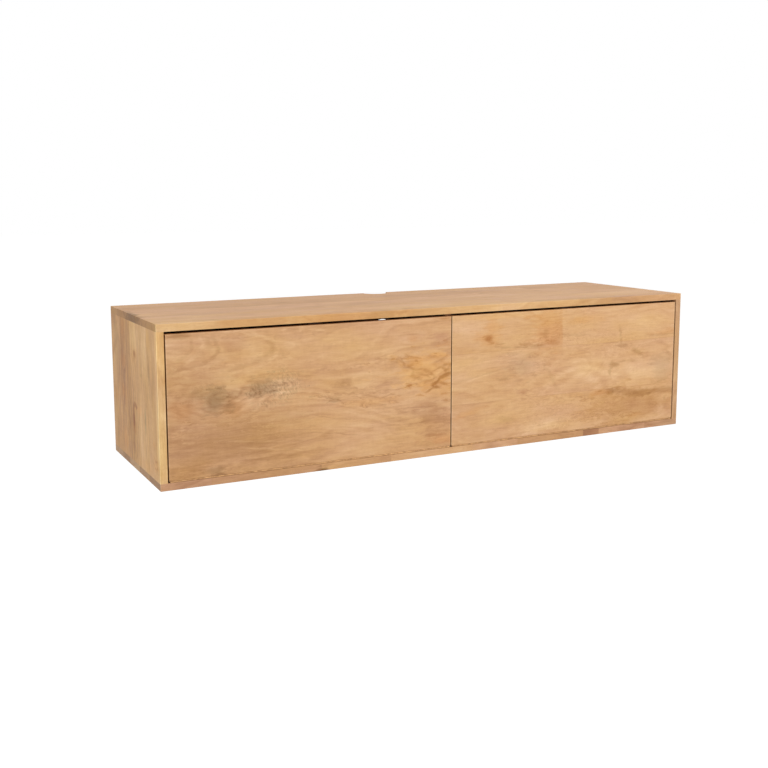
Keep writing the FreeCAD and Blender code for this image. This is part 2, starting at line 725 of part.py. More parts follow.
class Stay:
    """One sliding stay beside a panel's face.

    Every piece is drawn about the hinge pin. Distances across the stay run from the panel's face
    inwards, so the same numbers serve both ends of a door. The stud on the case and the pivot on
    the door are equally far from the hinge pin, so the arm turns by half the door's angle.
    """

    def __init__(self, name, face_x, inwards):
        self.name = name
        self.face_x = face_x
        self.inwards = inwards
        self.sign = "" if inwards > 0 else "-"

    def body(self, piece):
        """Make an empty body whose origin lies on the hinge pin's axis, on the panel's face."""
        body = make_body(f"{self.name}_{piece}")
        place(body, self.face_x, "pin_y", "pin_z")
        return body

    def sketch(self, body, distance):
        """Make a sketch square to X at a distance from the panel's face."""
        return sketch_on(body, "YZ_Plane", f"{self.sign}({distance})")

    def disc(self, body, y, z, radius, start, end):
        """Add a disc between two distances from the panel's face."""
        section = self.sketch(body, start)
        circle(section, y, z, radius)
        return pad(body, section, f"({end}) - ({start})", backwards=self.inwards < 0)

    def slab(self, body, start, end, *sides):
        """Add a rectangular slab between two distances from the panel's face."""
        section = self.sketch(body, start)
        rectangle(section, *sides)
        return pad(body, section, f"({end}) - ({start})", backwards=self.inwards < 0)

    def bore(self, body, y, z, radius, start, depth):
        """Cut a round hole inwards from a distance from the panel's face."""
        section = self.sketch(body, start)
        circle(section, y, z, radius)
        return pocket(body, section, depth, forwards=self.inwards > 0)

    def bracket(self):
        """Make the plate on the case that carries the stud."""
        body = self.body("stay_bracket")
        half_width = "bracket_width / 2"
        half_height = "bracket_height / 2"
        self.slab(
            body,
            "0",
            "plate_thickness",
            f"stud_y - {half_width}",
            f"stud_z - {half_height}",
            f"stud_y + {half_width}",
            f"stud_z + {half_height}",
        )
        self.bore(body, "stud_y", "stud_z", "stud_radius", "0", "plate_thickness")
        for step in ("-", "+"):
            height = f"stud_z {step} bracket_screw_pitch / 2"
            self.bore(body, "stud_y", height, "screw_radius + screw_hole_play", "0", "plate_thickness")
        return keep(body.Label, body)

    def bracket_screws(self):
        """Make the two screws that hold the bracket to its panel."""
        step = "+" if self.inwards > 0 else "-"
        x = f"{self.face_x} {step} plate_thickness"
        z = f"pin_z + stud_z {step} bracket_screw_pitch / 2"
        return screw_row(
            "Screws", x, "pin_y + stud_y", z, f"{step}X", "2", "bracket_screw_pitch", "short_screw_length"
        )

    def stud(self):
        """Make the stud, whose collar and head hold the arm between them."""
        body = self.body("stay_stud")
        where = ("stud_y", "stud_z")
        self.disc(body, *where, "stud_radius", "0", "ear_outer + stud_head_height")
        self.disc(body, *where, "stud_collar_radius", "plate_thickness", "arm_standoff - stay_play")
        self.disc(body, *where, "stud_collar_radius", "ear_outer", "ear_outer + stud_head_height")
        return body

    def foot(self):
        """Make the foot on the door: a plate against the wood and an ear for the pivot."""
        body = self.body("stay_foot")
        wood = "foot_y - foot_standoff"
        self.slab(
            body,
            "ear_outer",
            "ear_outer + foot_width",
            wood,
            "foot_z - bracket_height / 2",
            f"{wood} + plate_thickness",
            "foot_z + bracket_height / 2",
        )
        ear = (wood, "foot_z - ear_radius", "foot_y", "foot_z + ear_radius")
        self.slab(body, "ear_outer", "ear_inner", *ear)
        self.disc(body, "foot_y", "foot_z", "ear_radius", "ear_outer", "ear_inner")
        self.bore(body, "foot_y", "foot_z", "stud_radius", "ear_outer", "plate_thickness")

        holes = sketch_on(body, "XZ_Plane", f"-({wood})")
        middle = f"{self.sign}((ear_inner + ear_outer + foot_width) / 2)"
        for step in ("-", "+"):
            height = f"foot_z {step} bracket_screw_pitch / 2"
            circle(holes, middle, height, "screw_radius + screw_hole_play")
        pocket(body, holes, "plate_thickness")
        return keep(body.Label, body)

    def foot_screws(self):
        """Make the two screws that hold the foot to the door."""
        step = "+" if self.inwards > 0 else "-"
        x = f"{self.face_x} {step} (ear_inner + ear_outer + foot_width) / 2"
        y = "door_inner_y + plate_thickness"
        lower = "pin_z + foot_z - bracket_screw_pitch / 2"
        upper = "pin_z + foot_z + bracket_screw_pitch / 2"
        return [screw_row("Screws", x, y, z, "+Y") for z in (lower, upper)]

    def pivot(self):
        """Make the rivet that joins the arm to the foot."""
        body = self.body("stay_pivot")
        where = ("foot_y", "foot_z")
        head = "arm_standoff - stay_play"
        tail = "ear_inner + pivot_head_height"
        self.disc(body, *where, "stud_radius", f"{head} - pivot_head_height", tail)
        self.disc(body, *where, "stud_collar_radius", f"{head} - pivot_head_height", head)
        self.disc(body, *where, "stud_collar_radius", "ear_inner", tail)
        return body

    def arm(self):
        """Make the slotted arm, drawn from its pivot towards the stud and then turned."""
        body = make_body(f"{self.name}_stay_arm")
        tilt = "atan2(stud_z - foot_z; stud_y - foot_y)"
        place(body, self.face_x, "pin_y + foot_y", "pin_z + foot_z", Vector(1, 0, 0), tilt)
        end = "open_reach + slot_end + arm_end - arm_width / 2"
        thick = ("arm_standoff", "arm_inner")
        self.slab(body, *thick, "0", "-arm_width / 2", end, "arm_width / 2")
        for y in ("0", end):
            self.disc(body, y, "0", "arm_width / 2", *thick)
        self.bore(body, "0", "0", "stud_radius + pin_play", "arm_standoff", "arm_thickness")

        slot = self.sketch(body, "arm_standoff")
        rectangle(slot, "closed_reach", "-slot_end", "open_reach", "slot_end")
        pocket(body, slot, "arm_thickness", forwards=self.inwards > 0)
        for y in ("closed_reach", "open_reach"):
            self.bore(body, y, "0", "slot_end", "arm_standoff", "arm_thickness")
        return keep(body.Label, body)


def flap_stays():
    """Make the stays at both ends of both doors."""
    bracket_screws = []
    studs = []
    ends = {
        "left": [("outer", "-inner_width / 2", 1), ("inner", "-case_board / 2", -1)],
        "right": [("inner", "case_board / 2", 1), ("outer", "inner_width / 2", -1)],
    }
    for door, faces in ends.items():
        foot_screws = []
        pivots = []
        for end, face_x, inwards in faces:
            stay = Stay(f"{door}_{end}", face_x, inwards)
            stay.bracket()
            stay.foot()
            stay.arm()
            studs.append(stay.stud())
            pivots.append(stay.pivot())
            bracket_screws.append(stay.bracket_screws())
            foot_screws.extend(stay.foot_screws())
        keep_group(f"{door}_stay_pivots", pivots)
        keep_group(f"{door}_stay_foot_screws", foot_screws)
    keep_group("stay_studs", studs)
    keep_group("stay_bracket_screws", bracket_screws)


# ---------------------------------------------------------------- catches and bumpers


def catch_block(label, side, y, z):
    """Make an empty body on a door's middle plane, at the height z."""
    body = make_body(label)
    place(body, door_centre_x(side), y, z)
    return body


def centred_block(body, half_width, front, back, low, high):
    """Add a block across the body's middle plane between two faces along Y and two along Z."""
    section = sketch_on(body, "YZ_Plane", f"-({half_width})")
    rectangle(section, front, low, back, high)
    return pad(body, section, f"2 * ({half_width})")


def catch_housing(name, side):
    """Make the housing that hangs under the top panel and holds the magnet."""
    body = catch_block(f"{name}_catch_housing", side, "catch_front_y", "case_height - case_board")
    centred_block(body, "catch_flange_width / 2", "0", "catch_depth", "-catch_flange", "0")
    centred_block(body, "catch_width / 2", "0", "catch_depth", "-catch_height", "0")
    well = sketch_on(body, "XZ_Plane")
    half = "catch_width / 2 - catch_wall"
    rectangle(well, f"-({half})", "-catch_drop - pole_half", half, "-catch_drop + pole_half")
    pocket(body, well, "magnet_depth")
    for step in ("-", "+"):
        hole = sketch_on(body, "XY_Plane", "-catch_flange")
        circle(hole, f"{step}catch_screw_pitch / 2", "catch_depth / 2", "screw_radius + screw_hole_play")
        pocket(body, hole, "catch_flange", forwards=True)
    return keep(body.Label, body)


def catch_magnet(name, side):
    """Make the magnet, flush with the housing's mouth."""
    body = catch_block(f"{name}_catch_magnet", side, "catch_front_y", "magnet_z")
    half = "catch_width / 2 - catch_wall"
    centred_block(body, half, "0", "magnet_depth", "-magnet_height / 2", "magnet_height / 2")
    return keep(body.Label, body)


def catch_poles(name, side):
    """Make the two steel plates that carry the magnet's pull to the strike."""
    plates = []
    half = "catch_width / 2 - catch_wall"
    for low, high in (("-pole_half", "-magnet_height / 2"), ("magnet_height / 2", "pole_half")):
        body = catch_block("PolePlate", side, "catch_front_y", "magnet_z")
        centred_block(body, half, "-pole_reach", "magnet_depth", low, high)
        plates.append(body)
    return keep_group(f"{name}_catch_poles", plates)


def strike_plate(name, side):
    """Make the steel plate on the door that the magnet holds."""
    body = catch_block(f"{name}_strike_plate", side, "door_inner_y", "magnet_z")
    half_height = "strike_height / 2"
    centred_block(body, "strike_width / 2", "0", "strike_thickness", f"-{half_height}", half_height)
    holes = sketch_on(body, "XZ_Plane")
    for step in ("-", "+"):
        circle(holes, f"{step}strike_screw_pitch / 2", "0", "screw_radius + screw_hole_play")
    pocket(body, holes, "strike_thickness")
    return keep(body.Label, body)


def catch(name, side):
    """Make a door's magnetic catch and return the screws of its housing."""
    catch_housing(name, side)
    catch_magnet(name, side)
    catch_poles(name, side)
    strike_plate(name, side)
    strike_x = f"{door_centre_x(side)} - strike_screw_pitch / 2"
    row = screw_row(
        f"{name}_strike_screws", strike_x, "strike_back_y", "magnet_z", "+Y", "2", "strike_screw_pitch"
    )
    keep(row.Label, row)
    return screw_row(
        "Screws",
        f"{door_centre_x(side)} - catch_screw_pitch / 2",
        "catch_front_y + catch_depth / 2",
        "case_height - case_board - catch_flange",
        "-Z",
        "2",
        "catch_screw_pitch",
    )


def door_bumpers():
    """Make the soft dots on the divider's front edge, two for each door."""
    body = make_body("door_bumpers")
    place(body, "0", "front_y + divider_front", "case_board")
    dots = sketch_on(body, "XZ_Plane")
    for x in ("-bumper_offset", "bumper_offset"):
        for z in ("bumper_edge", "inner_height - bumper_edge"):
            circle(dots, x, z, "bumper_radius")
    pad(body, dots, "bumper_gap - bumper_play")
    return keep("door_bumpers", body)


# ---------------------------------------------------------------- whole console


def build():
    """Build every piece of the console."""
    horizontal_panel("top_panel", "case_height - case_board", is_top=True)
    horizontal_panel("bottom_panel", "0", is_top=False)
    side_panel("left_side_panel", LEFT)
    side_panel("right_side_panel", RIGHT)
    centre_divider()
    back_panel()
    case_dowels()
    hanging_rails()
    catch_screws = []
    for name, side in (("left", LEFT), ("right", RIGHT)):
        door_panel(name, side)
        hinge(name, side)
        catch_screws.append(catch(name, side))
    keep_group("catch_screws", catch_screws)
    flap_stays()
    door_bumpers()


def check():
    """Stop if any object failed or any part has no valid shape."""
    document.recompute()
    for item in document.Objects:
        if "Invalid" in item.State or "Error" in item.State:
            raise RuntimeError(f"{item.Label} failed: {item.State}")
    for label, item in nodes.items():
        if item.Shape.isNull() or not item.Shape.isValid() or not item.Shape.Solids:
            raise RuntimeError(f"{label} has no valid solid")


def write():
    """Write each part to its own file."""
    os.makedirs("parts", exist_ok=True)
    for label, item in nodes.items():
        item.Shape.exportStep(os.path.join("parts", f"{label}.step"))


make_sheet()
make_layout()
build()
check()
write()
print(f"{len(nodes)} parts written")
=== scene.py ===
"""Dresses the wall-hung media console in solid timber, aged bronze, steel, plastic and felt.

The boards and fittings keep their CAD shapes. Their timber is drawn board by board: growth lines,
streaks, pores, glued joints and the marks that a maker would point out. The screws are built anew
with domed heads and cross recesses.

Everything is in metres in the CAD's frame: +Z up, -Y towards the room, +X to the right for someone
who faces the doors. Positions in the tables of boards and marks are in millimetres.
"""

import logging
import math
from dataclasses import dataclass
from enum import Enum, unique
from typing import Any, Callable, Sequence

import bpy
import numpy as np
from mathutils import Matrix, Vector


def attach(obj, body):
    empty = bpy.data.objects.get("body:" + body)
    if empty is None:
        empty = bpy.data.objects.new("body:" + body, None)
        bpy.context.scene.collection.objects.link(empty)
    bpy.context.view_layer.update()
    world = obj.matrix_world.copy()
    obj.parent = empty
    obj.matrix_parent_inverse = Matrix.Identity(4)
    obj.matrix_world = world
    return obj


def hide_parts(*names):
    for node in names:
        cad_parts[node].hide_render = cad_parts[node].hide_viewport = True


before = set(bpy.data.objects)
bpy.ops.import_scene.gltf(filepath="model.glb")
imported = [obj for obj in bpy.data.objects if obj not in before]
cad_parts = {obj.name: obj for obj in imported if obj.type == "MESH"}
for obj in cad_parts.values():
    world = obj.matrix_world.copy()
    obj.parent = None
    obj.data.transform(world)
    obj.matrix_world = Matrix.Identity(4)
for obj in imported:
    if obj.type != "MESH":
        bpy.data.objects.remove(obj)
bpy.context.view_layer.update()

MM = 0.001
LOG = logging.getLogger("console")
EDGE = -9999.0  # before the first edge or end of any board, in millimetres

Node = bpy.types.Node
Tree = bpy.types.NodeTree
Socket = bpy.types.NodeSocket
Material = bpy.types.Material
Feed = Socket | float | Sequence[float]
Point = tuple[float, float, float]
Colour = tuple[float, float, float]
Tint = tuple[float, float, float, float]

WHITE: Tint = (1.0, 1.0, 1.0, 1.0)
PORE_TINT: Tint = (0.62, 0.50, 0.40, 1)
SEAM_TINT: Tint = (0.66, 0.52, 0.40, 1)
# painted highlight: lifts the colour of upright rounded edges above one, standing in for light caught on
# the arris
ARRIS_HIGHLIGHT_TINT: Tint = (1.4, 1.65, 1.9, 1)
YELLOW_LEAN: Tint = (1.01, 0.965, 0.80, 1)
PINK_LEAN: Tint = (1.02, 0.985, 1.14, 1)
DEEPEST_SHARE = 0.72  # of the deep colour, where the figure is darkest
SHADE_STOPS = (0.0, 0.25, 0.5, 0.8)  # tones of the deepest, deep, middle and pale colour

MEAN = 0.5  # of a noise, and the middle tone
CLIMB = 34.0  # growth lines per metre across the grain
ARCH_LINES = 9.0  # growth lines that the slow noise shifts
WOBBLE_LINES = 1.1  # and the quick one
LATE_WOOD_POWER = 1.8  # how late a growth line darkens
LATE_WOOD_END = (0.72, 1.0)  # where it is pale again
FINE_LENGTH = 7.0  # fine lines: features per metre along the grain
FINE_COUNT = 3.2  # and per growth line
LINE_LEVEL = 0.2  # a growth line is paler than this mean at first, and darker late
LINE_TONE = 0.16
RING_TONE = 0.035  # of the rings round a mark
NOISE_SPAN = (0.3, 0.7)  # where most of a noise's values lie
BOARD_SEED = 0.37
BLOCK_SEED = 1.13
SCATTER = (4.0, 4.0, 4.0)  # metres that a block's timber may be moved
SHAKE = (0.020, 0.011, 0.0)  # metres that a mark's rim wanders
PORE_SHARE = 0.5  # of its full tint
PORE_DEPTH = 1.2  # against the relief
SEAM_HALF = 0.0003  # half the width of a glue line
SEAM_SHARE = 0.5
LINK_REACH = 0.75  # half a link of a line, in lengths of it, so that two links overlap
SPECK_SLANT = math.radians(62)
HAIRLINE_SHARE = 0.5  # of a hairline in the wear, next to a smudge


def linear(red: float, green: float, blue: float) -> Tint:
    """Turns a display colour of 0 to 255 into the linear colour that shaders work with.

    Args:
        red, green, blue: the colour as a screen shows it.

    Returns:
        The linear colour with full alpha.
    """
    parts = np.array([red, green, blue], float) / 255.0
    low = parts / 12.92
    high = ((parts + 0.055) / 1.055) ** 2.4
    return (*np.where(parts <= 0.04045, low, high).tolist(), 1.0)


# ---- node trees


class Feature(Enum):
    """How many of a surface's features fit into a metre along, across and into the board."""

    ARCH = (2.6, 8.0, 8.0)
    WOBBLE = (14, 44, 44)
    LINE_FADE = (3.3, 10, 10)
    BROAD = (2.2, 6, 6)
    CLOUD = (6, 19, 19)
    STREAK = (18, 150, 150)
    FIBRE = (34, 330, 330)
    CURL = (120, 36, 36)
    PORE = (150, 2300, 2300)
    RAGGED = (22, 60, 60)
    RIM = (26, 75, 75)
    SPECK = (110, 190, 190)
    SMUDGE = (90, 90, 90)


class NodeSheet:
    """Places shader nodes in one tree and links them."""

    def __init__(self, tree: Tree) -> None:
        """Works on the given tree."""
        self.tree = tree

    def feed(self, socket: Socket, value: Feed) -> None:
        """Links a socket to another one, or sets its value.

        Args:
            socket: the input to feed.
            value: another socket, or the value itself.
        """
        if isinstance(value, Socket):
            self.tree.links.new(value, socket)
        else:
            socket.default_value = value

    def add(self, kind: str, *values: Feed, **settings: Any) -> Node:
        """Places a shader node, sets its properties and feeds its first inputs in their order.

        Args:
            kind: the node's type without its ShaderNode prefix.
            values: what the first inputs get.
            settings: its properties.

        Returns:
            The node.
        """
        node = self.tree.nodes.new(f"ShaderNode{kind}")
        for name, value in settings.items():
            setattr(node, name, value)
        for socket, value in zip(node.inputs, values):
            self.feed(socket, value)
        return node

    def fill(self, node: Node, **values: Feed) -> Node:
        """Feeds a node's inputs by name, with underscores for the spaces in their names.

        Args:
            node: the node.
            values: what its inputs get.

        Returns:
            The same node.
        """
        for name, value in values.items():
            self.feed(node.inputs[name.replace("_", " ")], value)
        return node

    def math(self, operation: str, *values: Feed) -> Socket:
        """Works out one number from others."""
        return self.add("Math", *values, operation=operation).outputs[0]

    def vector(self, operation: str, *values: Feed) -> Socket:
        """Works out a vector, or the length of one."""
        outputs = self.add("VectorMath", *values, operation=operation).outputs
        return outputs["Value" if operation == "LENGTH" else "Vector"]

    def noise(self, place: Feed, detail: float, roughness: float = 0.5) -> Node:
        """Places a noise texture whose features are about one unit wide at the given place."""
        texture = self.add("TexNoise")
        return self.fill(texture, Vector=place, Scale=1.0, Detail=detail, Roughness=roughness)

    def spread(self, place: Feed, feature: Feature, detail: float, rough: float = 0.5) -> Node:
        """Places noise with the feature's own size along each axis."""
        return self.noise(self.vector("MULTIPLY", place, feature.value), detail, rough)

    def stretched(self, place: Feed, feature: Feature, detail: float, rough: float = 0.5) -> Socket:
        """Gives the value of such noise."""
        return self.spread(place, feature, detail, rough).outputs[0]

    def remap(
        self, value: Feed, ends: Sequence[float], to: Sequence[float] = (0.0, 1.0), smooth: bool = False
    ) -> Socket:
        """Moves a value from one range to another and holds it there.

        Args:
            value: the value.
            ends: the range that it comes from.
            to: the range that it goes to.
            smooth: whether it eases in and out.

        Returns:
            The moved value.
        """
        # A smooth step holds its own ends. The clamp's extra node would keep its input waiting.
        steps = "SMOOTHSTEP" if smooth else "LINEAR"
        node = self.add("MapRange", value, *ends, *to, clamp=not smooth, interpolation_type=steps)
        return node.outputs[0]

    def ramp(self, value: Feed, stops: Sequence[tuple[float, Sequence[float]]]) -> Socket:
        """Turns a value into a colour by way of colour stops.

        Args:
            value: the value.
            stops: the place and colour of each stop.

        Returns:
            The colour.
        """
        node = self.add("ValToRGB", value)
        elements = node.color_ramp.elements
        while len(elements) < len(stops):
            elements.new(0.5)
        for element, (position, colour) in zip(elements, stops):
            element.position = position
            element.color = colour
        return node.outputs["Color"]

    def mix(self, share: Feed, first: Feed, second: Feed, blend: str = "MIX") -> Socket:
        """Mixes two colours.

        Args:
            share: how much of the second shows.
            first, second: the colours.
            blend: how they are blended.

        Returns:
            The mixed colour.
        """
        node = self.add("Mix", share, data_type="RGBA", blend_type=blend, clamp_result=False)
        self.feed(node.inputs[6], first)
        self.feed(node.inputs[7], second)
        return node.outputs[2]

    def parts(self, vector: Feed) -> Sequence[Socket]:
        """Splits a vector into its three numbers."""
        return self.add("SeparateXYZ", vector).outputs

    def joined(self, *numbers: Feed) -> Socket:
        """Joins up to three numbers into a vector."""
        return self.add("CombineXYZ", *numbers).outputs[0]

    def turned(self, place: Feed, angle: Feed) -> Socket:
        """Turns a place about the third axis."""
        return self.fill(self.add("VectorRotate", place, rotation_type="Z_AXIS"), Angle=angle).outputs[0]

    def shader(self, kind: str, **values: Feed) -> Socket:
        """Places a shader or bump and feeds its sockets."""
        return self.fill(self.add(kind), **values).outputs[0]

    def show(self, surface: Socket, output: str = "Material") -> None:
        """Shows a shader as the surface of the material or world."""
        self.add(f"Output{output}", surface)

    def use(self, group: Tree, **values: Feed) -> Any:
        """Places a node group, feeds its inputs by name and gives its outputs."""
        return self.fill(self.add("Group", node_tree=group), **values).outputs

    def object_place(self) -> tuple[Socket, Socket]:
        """Gives the place and the surface's direction in the piece's own frame."""
        outputs = self.add("TexCoord").outputs
        return outputs["Object"], outputs["Normal"]


def blank_material(name: str) -> tuple[Material, NodeSheet]:
    """Makes a material with an empty node tree, and a sheet to draw on.

    Args:
        name: the material's name.

    Returns:
        The material and the sheet.
    """
    made = bpy.data.materials.new(name)
    made.use_nodes = True
    made.node_tree.nodes.clear()
    return made, NodeSheet(made.node_tree)


class EffectGroups:
    """The shader effects that several finishes share, each built once."""

    _made: dict[str, Tree] = {}

    @classmethod
    def get(cls, maker: Callable[[], Tree]) -> Tree:
        """Gives the group that a function draws, and has it drawn the first time.

        Args:
            maker: the function.

        Returns:
            The group.
        """
        name = maker.__name__
        if name not in cls._made:
            cls._made[name] = maker()
        return cls._made[name]

    @staticmethod
    def start(
        name: str, inputs: dict[str, Feed], numbers: Sequence[str], vectors: Sequence[str] = ()
    ) -> tuple[Tree, NodeSheet, Any, Node]:
        """Makes an empty group.

        Args:
            name: the group's name.
            inputs: each input's first value, a number or a vector.
            numbers: names of the outputs that are numbers.
            vectors: names of the outputs that are vectors.

        Returns:
            The group, a sheet to draw on, the given values and the node that takes the results.
        """
        tree = bpy.data.node_groups.new(name, "ShaderNodeTree")
        for label, value in inputs.items():
            kind = "Float" if isinstance(value, float) else "Vector"
            socket = tree.interface.new_socket(label, in_out="INPUT", socket_type=f"NodeSocket{kind}")
            socket.default_value = value
        for kind, labels in (("Float", numbers), ("Vector", vectors)):
            for label in labels:
                tree.interface.new_socket(label, in_out="OUTPUT", socket_type=f"NodeSocket{kind}")
        given, result = (tree.nodes.new(f"NodeGroup{end}") for end in ("Input", "Output"))
        return tree, NodeSheet(tree), given.outputs, result



def _timber_figure() -> Tree:
    """Draws timber whose grain runs along the first axis.

    Growth lines are the level lines of a slow noise field that also climbs steadily across the
    grain: where the noise cancels the climb, the lines close into eyes and arches. Fine lines are
    noise that follows the same level lines. Clouds, streaks, fibres and curl are noises stretched
    along or across the grain.

    Returns:
        The group: Tone about 0.5, Blush about 0.5, Relief and Pores from 0 to 1.
    """
    tree, sheet, given, result = EffectGroups.start(
        "TimberFigure",
        {"Place": (0, 0, 0), "Pull": 0.0, "Lines": 1.0},
        ("Tone", "Blush", "Relief", "Pores"),
    )
    place, pull = given["Place"], given["Pull"]
    along, across, _ = sheet.parts(place)

    arch = sheet.math("MULTIPLY", sheet.stretched(place, Feature.ARCH, 1), ARCH_LINES)
    wobble = sheet.stretched(place, Feature.WOBBLE, 1)
    climb = sheet.math("MULTIPLY_ADD", across, CLIMB, arch)
    phase = sheet.math("MULTIPLY_ADD", wobble, WOBBLE_LINES, sheet.math("ADD", climb, pull))
    step = sheet.math("FRACT", phase)
    back = sheet.remap(step, LATE_WOOD_END, (1.0, 0.0), smooth=True)
    ring = sheet.math("MULTIPLY", sheet.math("POWER", step, LATE_WOOD_POWER), back)
    seen = sheet.remap(sheet.stretched(place, Feature.LINE_FADE, 1), (0.4, 0.62), (0.2, 1.0))
    lines = sheet.math("MULTIPLY", sheet.math("SUBTRACT", LINE_LEVEL, ring), seen)
    lines = sheet.math("MULTIPLY", lines, given["Lines"])

    length = sheet.math("MULTIPLY", along, FINE_LENGTH)
    level = sheet.joined(length, sheet.math("MULTIPLY", phase, FINE_COUNT))
    fine = sheet.noise(level, 2.0, 0.6).outputs[0]
    cloud = sheet.spread(place, Feature.CLOUD, 3.0, 0.55)
    streak = sheet.stretched(place, Feature.STREAK, 3, 0.6)
    fibre = sheet.stretched(place, Feature.FIBRE, 2)
    weights = (
        (sheet.stretched(place, Feature.BROAD, 1), 0.2),
        (cloud.outputs[0], 0.22),
        (fine, 0.14),
        (streak, 0.13),
        (fibre, 0.17),
        (sheet.stretched(place, Feature.CURL, 1), 0.05),
    )

    tone: Socket | float = MEAN
    for part, weight in weights:
        tone = sheet.math("MULTIPLY_ADD", sheet.math("SUBTRACT", part, MEAN), weight, tone)
    tone = sheet.math("MULTIPLY_ADD", lines, LINE_TONE, tone)
    turns = sheet.math("MULTIPLY", pull, 2 * math.pi)
    tone = sheet.math("MULTIPLY_ADD", sheet.math("SINE", turns), RING_TONE, tone)

    hue = sheet.add("SeparateColor", cloud.outputs[1]).outputs[1]
    pores = sheet.remap(sheet.stretched(place, Feature.PORE, 1), (0.6, 0.74))
    sheet.fill(result, Tone=tone, Blush=hue, Relief=sheet.math("ADD", streak, fibre), Pores=pores)
    return tree


def _timber_mark() -> Tree:
    """Shapes one mark: an ellipse round a centre, one at the middle and zero at its rim.

    Returns:
        The group: Cone falls evenly from the centre, Soft does so smoothly, and Offset is the way
        from the centre, faded by Soft.
    """
    tree, sheet, given, result = EffectGroups.start(
        "TimberMark",
        {"Place": (0, 0, 0), "Centre": (0, 0, 0), "Size": (1, 1, 1), "Turn": 0.0, "Ragged": 0.5},
        ("Cone", "Soft"),
        ("Offset",),
    )
    away = sheet.vector("SUBTRACT", given["Place"], given["Centre"])
    turned = sheet.turned(away, given["Turn"])
    reach = sheet.vector("LENGTH", sheet.vector("DIVIDE", turned, given["Size"]))
    cone = sheet.math("MAXIMUM", sheet.math("SUBTRACT", 1.0, reach), 0.0)
    rough = sheet.math("MULTIPLY", reach, sheet.remap(given["Ragged"], NOISE_SPAN, (0.5, 1.5)))
    soft = sheet.remap(rough, (1.25, 0.2), smooth=True)
    sheet.fill(result, Cone=cone, Soft=soft, Offset=sheet.vector("MULTIPLY", away, soft))
    return tree


def _arris_and_end() -> Tree:
    """Finds upright rounded edges and end grain from the direction a surface faces.

    A rounded edge faces between two axes, so the longest part of its direction is under one. An
    upright one faces level. End grain faces along the grain.

    Returns:
        The group, with the masks Arris, where the painted edge highlight goes, and End.
    """
    tree, sheet, given, result = EffectGroups.start(
        "ArrisAndEnd",
        {"Facing": (0, 0, 1), "Grain": (1, 0, 0)},
        ("Arris", "End"),
    )
    facing = sheet.vector("ABSOLUTE", given["Facing"])
    first, second, third = sheet.parts(facing)
    widest = sheet.math("MAXIMUM", sheet.math("MAXIMUM", first, second), third)
    along = sheet.parts(sheet.vector("MULTIPLY", facing, given["Grain"]))
    end = sheet.math("ADD", along[0], sheet.math("ADD", along[1], along[2]))
    level = sheet.remap(third, (0.5, 0.1), smooth=True)
    rounded = sheet.remap(widest, (0.999, 0.95), smooth=True)
    arris = sheet.math("MULTIPLY", rounded, level)
    sheet.fill(result, Arris=arris, End=sheet.remap(end, (0.55, 0.95), smooth=True))
    return tree


def _handling_marks() -> Tree:
    """Draws soft smudges and fine hairlines.

    Returns:
        The group, with the masks Smudge and Hairline.
    """
    tree, sheet, given, result = EffectGroups.start(
        "HandlingMarks",
        {"Place": (0, 0, 0), "Brush": (400, 400, 400)},
        ("Smudge", "Hairline"),
    )
    smudge = sheet.stretched(given["Place"], Feature.SMUDGE, 3, 0.6)
    brushed = sheet.vector("MULTIPLY", given["Place"], given["Brush"])
    hairline = sheet.noise(brushed, 2).outputs[0]
    smudge = sheet.remap(smudge, (0.35, 0.7), smooth=True)
    sheet.fill(result, Smudge=smudge, Hairline=sheet.remap(hairline, NOISE_SPAN))
    return tree


# ---- timber


class Grain(Enum):
    """Which CAD axes run along the grain, across it and into the board."""

    FRONT_BOARD = (0, 2, 1)
    FLAT_BOARD = (0, 1, 2)
    UPRIGHT_BOARD = (2, 1, 0)


@dataclass(frozen=True)
class MarkLook:
    """How a kind of mark changes the timber: tint, growth lines pulled round it, and their weight."""

    tint: Tint
    pull: float
    weight: float = 0.0


@unique
class MarkKind(Enum):
    """What a mark in the timber is."""

    SPALT = MarkLook((0.60, 0.61, 0.57, 1), 0.8)  # greyish stain
    SPECKLE = MarkLook((0.56, 0.52, 0.44, 1), 0.2)  # stain broken into specks
    KNOT = MarkLook((0.70, 0.53, 0.32, 1), 1.0)  # reddish brown pin knot
    GOLD = MarkLook((1.03, 0.95, 0.70, 1), 1.9, 1.2)  # golden burr with dark growth lines
    AMBER = MarkLook((1.0, 0.93, 0.76, 1), 0.3)  # golden patch
    CORAL = MarkLook((1.04, 0.94, 0.88, 1), 0.2)  # salmon-coloured patch
    STREAK = MarkLook((0.68, 0.61, 0.48, 1), 0.4)  # brown mineral streak
    PALE = MarkLook((1.14, 1.24, 1.36, 1), 0.4)  # pale patch
    ROSE = MarkLook((0.84, 0.76, 0.76, 1), 0.4)  # rosy brown patch
    VEIN = MarkLook((0.60, 0.47, 0.27, 1), 0.0)  # thin dark line
    RUST = MarkLook((0.93, 0.80, 0.62, 1), 0.3)  # orange-brown patch
    SWIRL = MarkLook((1, 1, 1, 1), 1.0, 0.35)  # growth lines that bend round a centre
    SLOPE = MarkLook((1, 1, 1, 1), 0.0, 0.2)  # growth lines that run at a slant


@dataclass(frozen=True)
class Mark:
    """A mark at a place on a board, in millimetres along, across and into the board.

    Its turn is in degrees, and nothing of it shows beyond its stop along the grain.
    """

    kind: MarkKind
    along: float
    across: float
    half_length: float
    half_width: float
    strength: float = 1.0
    turn: float = 0.0
    stop: float | None = None
    depth: float = 0.0
    half_depth: float = 1e6


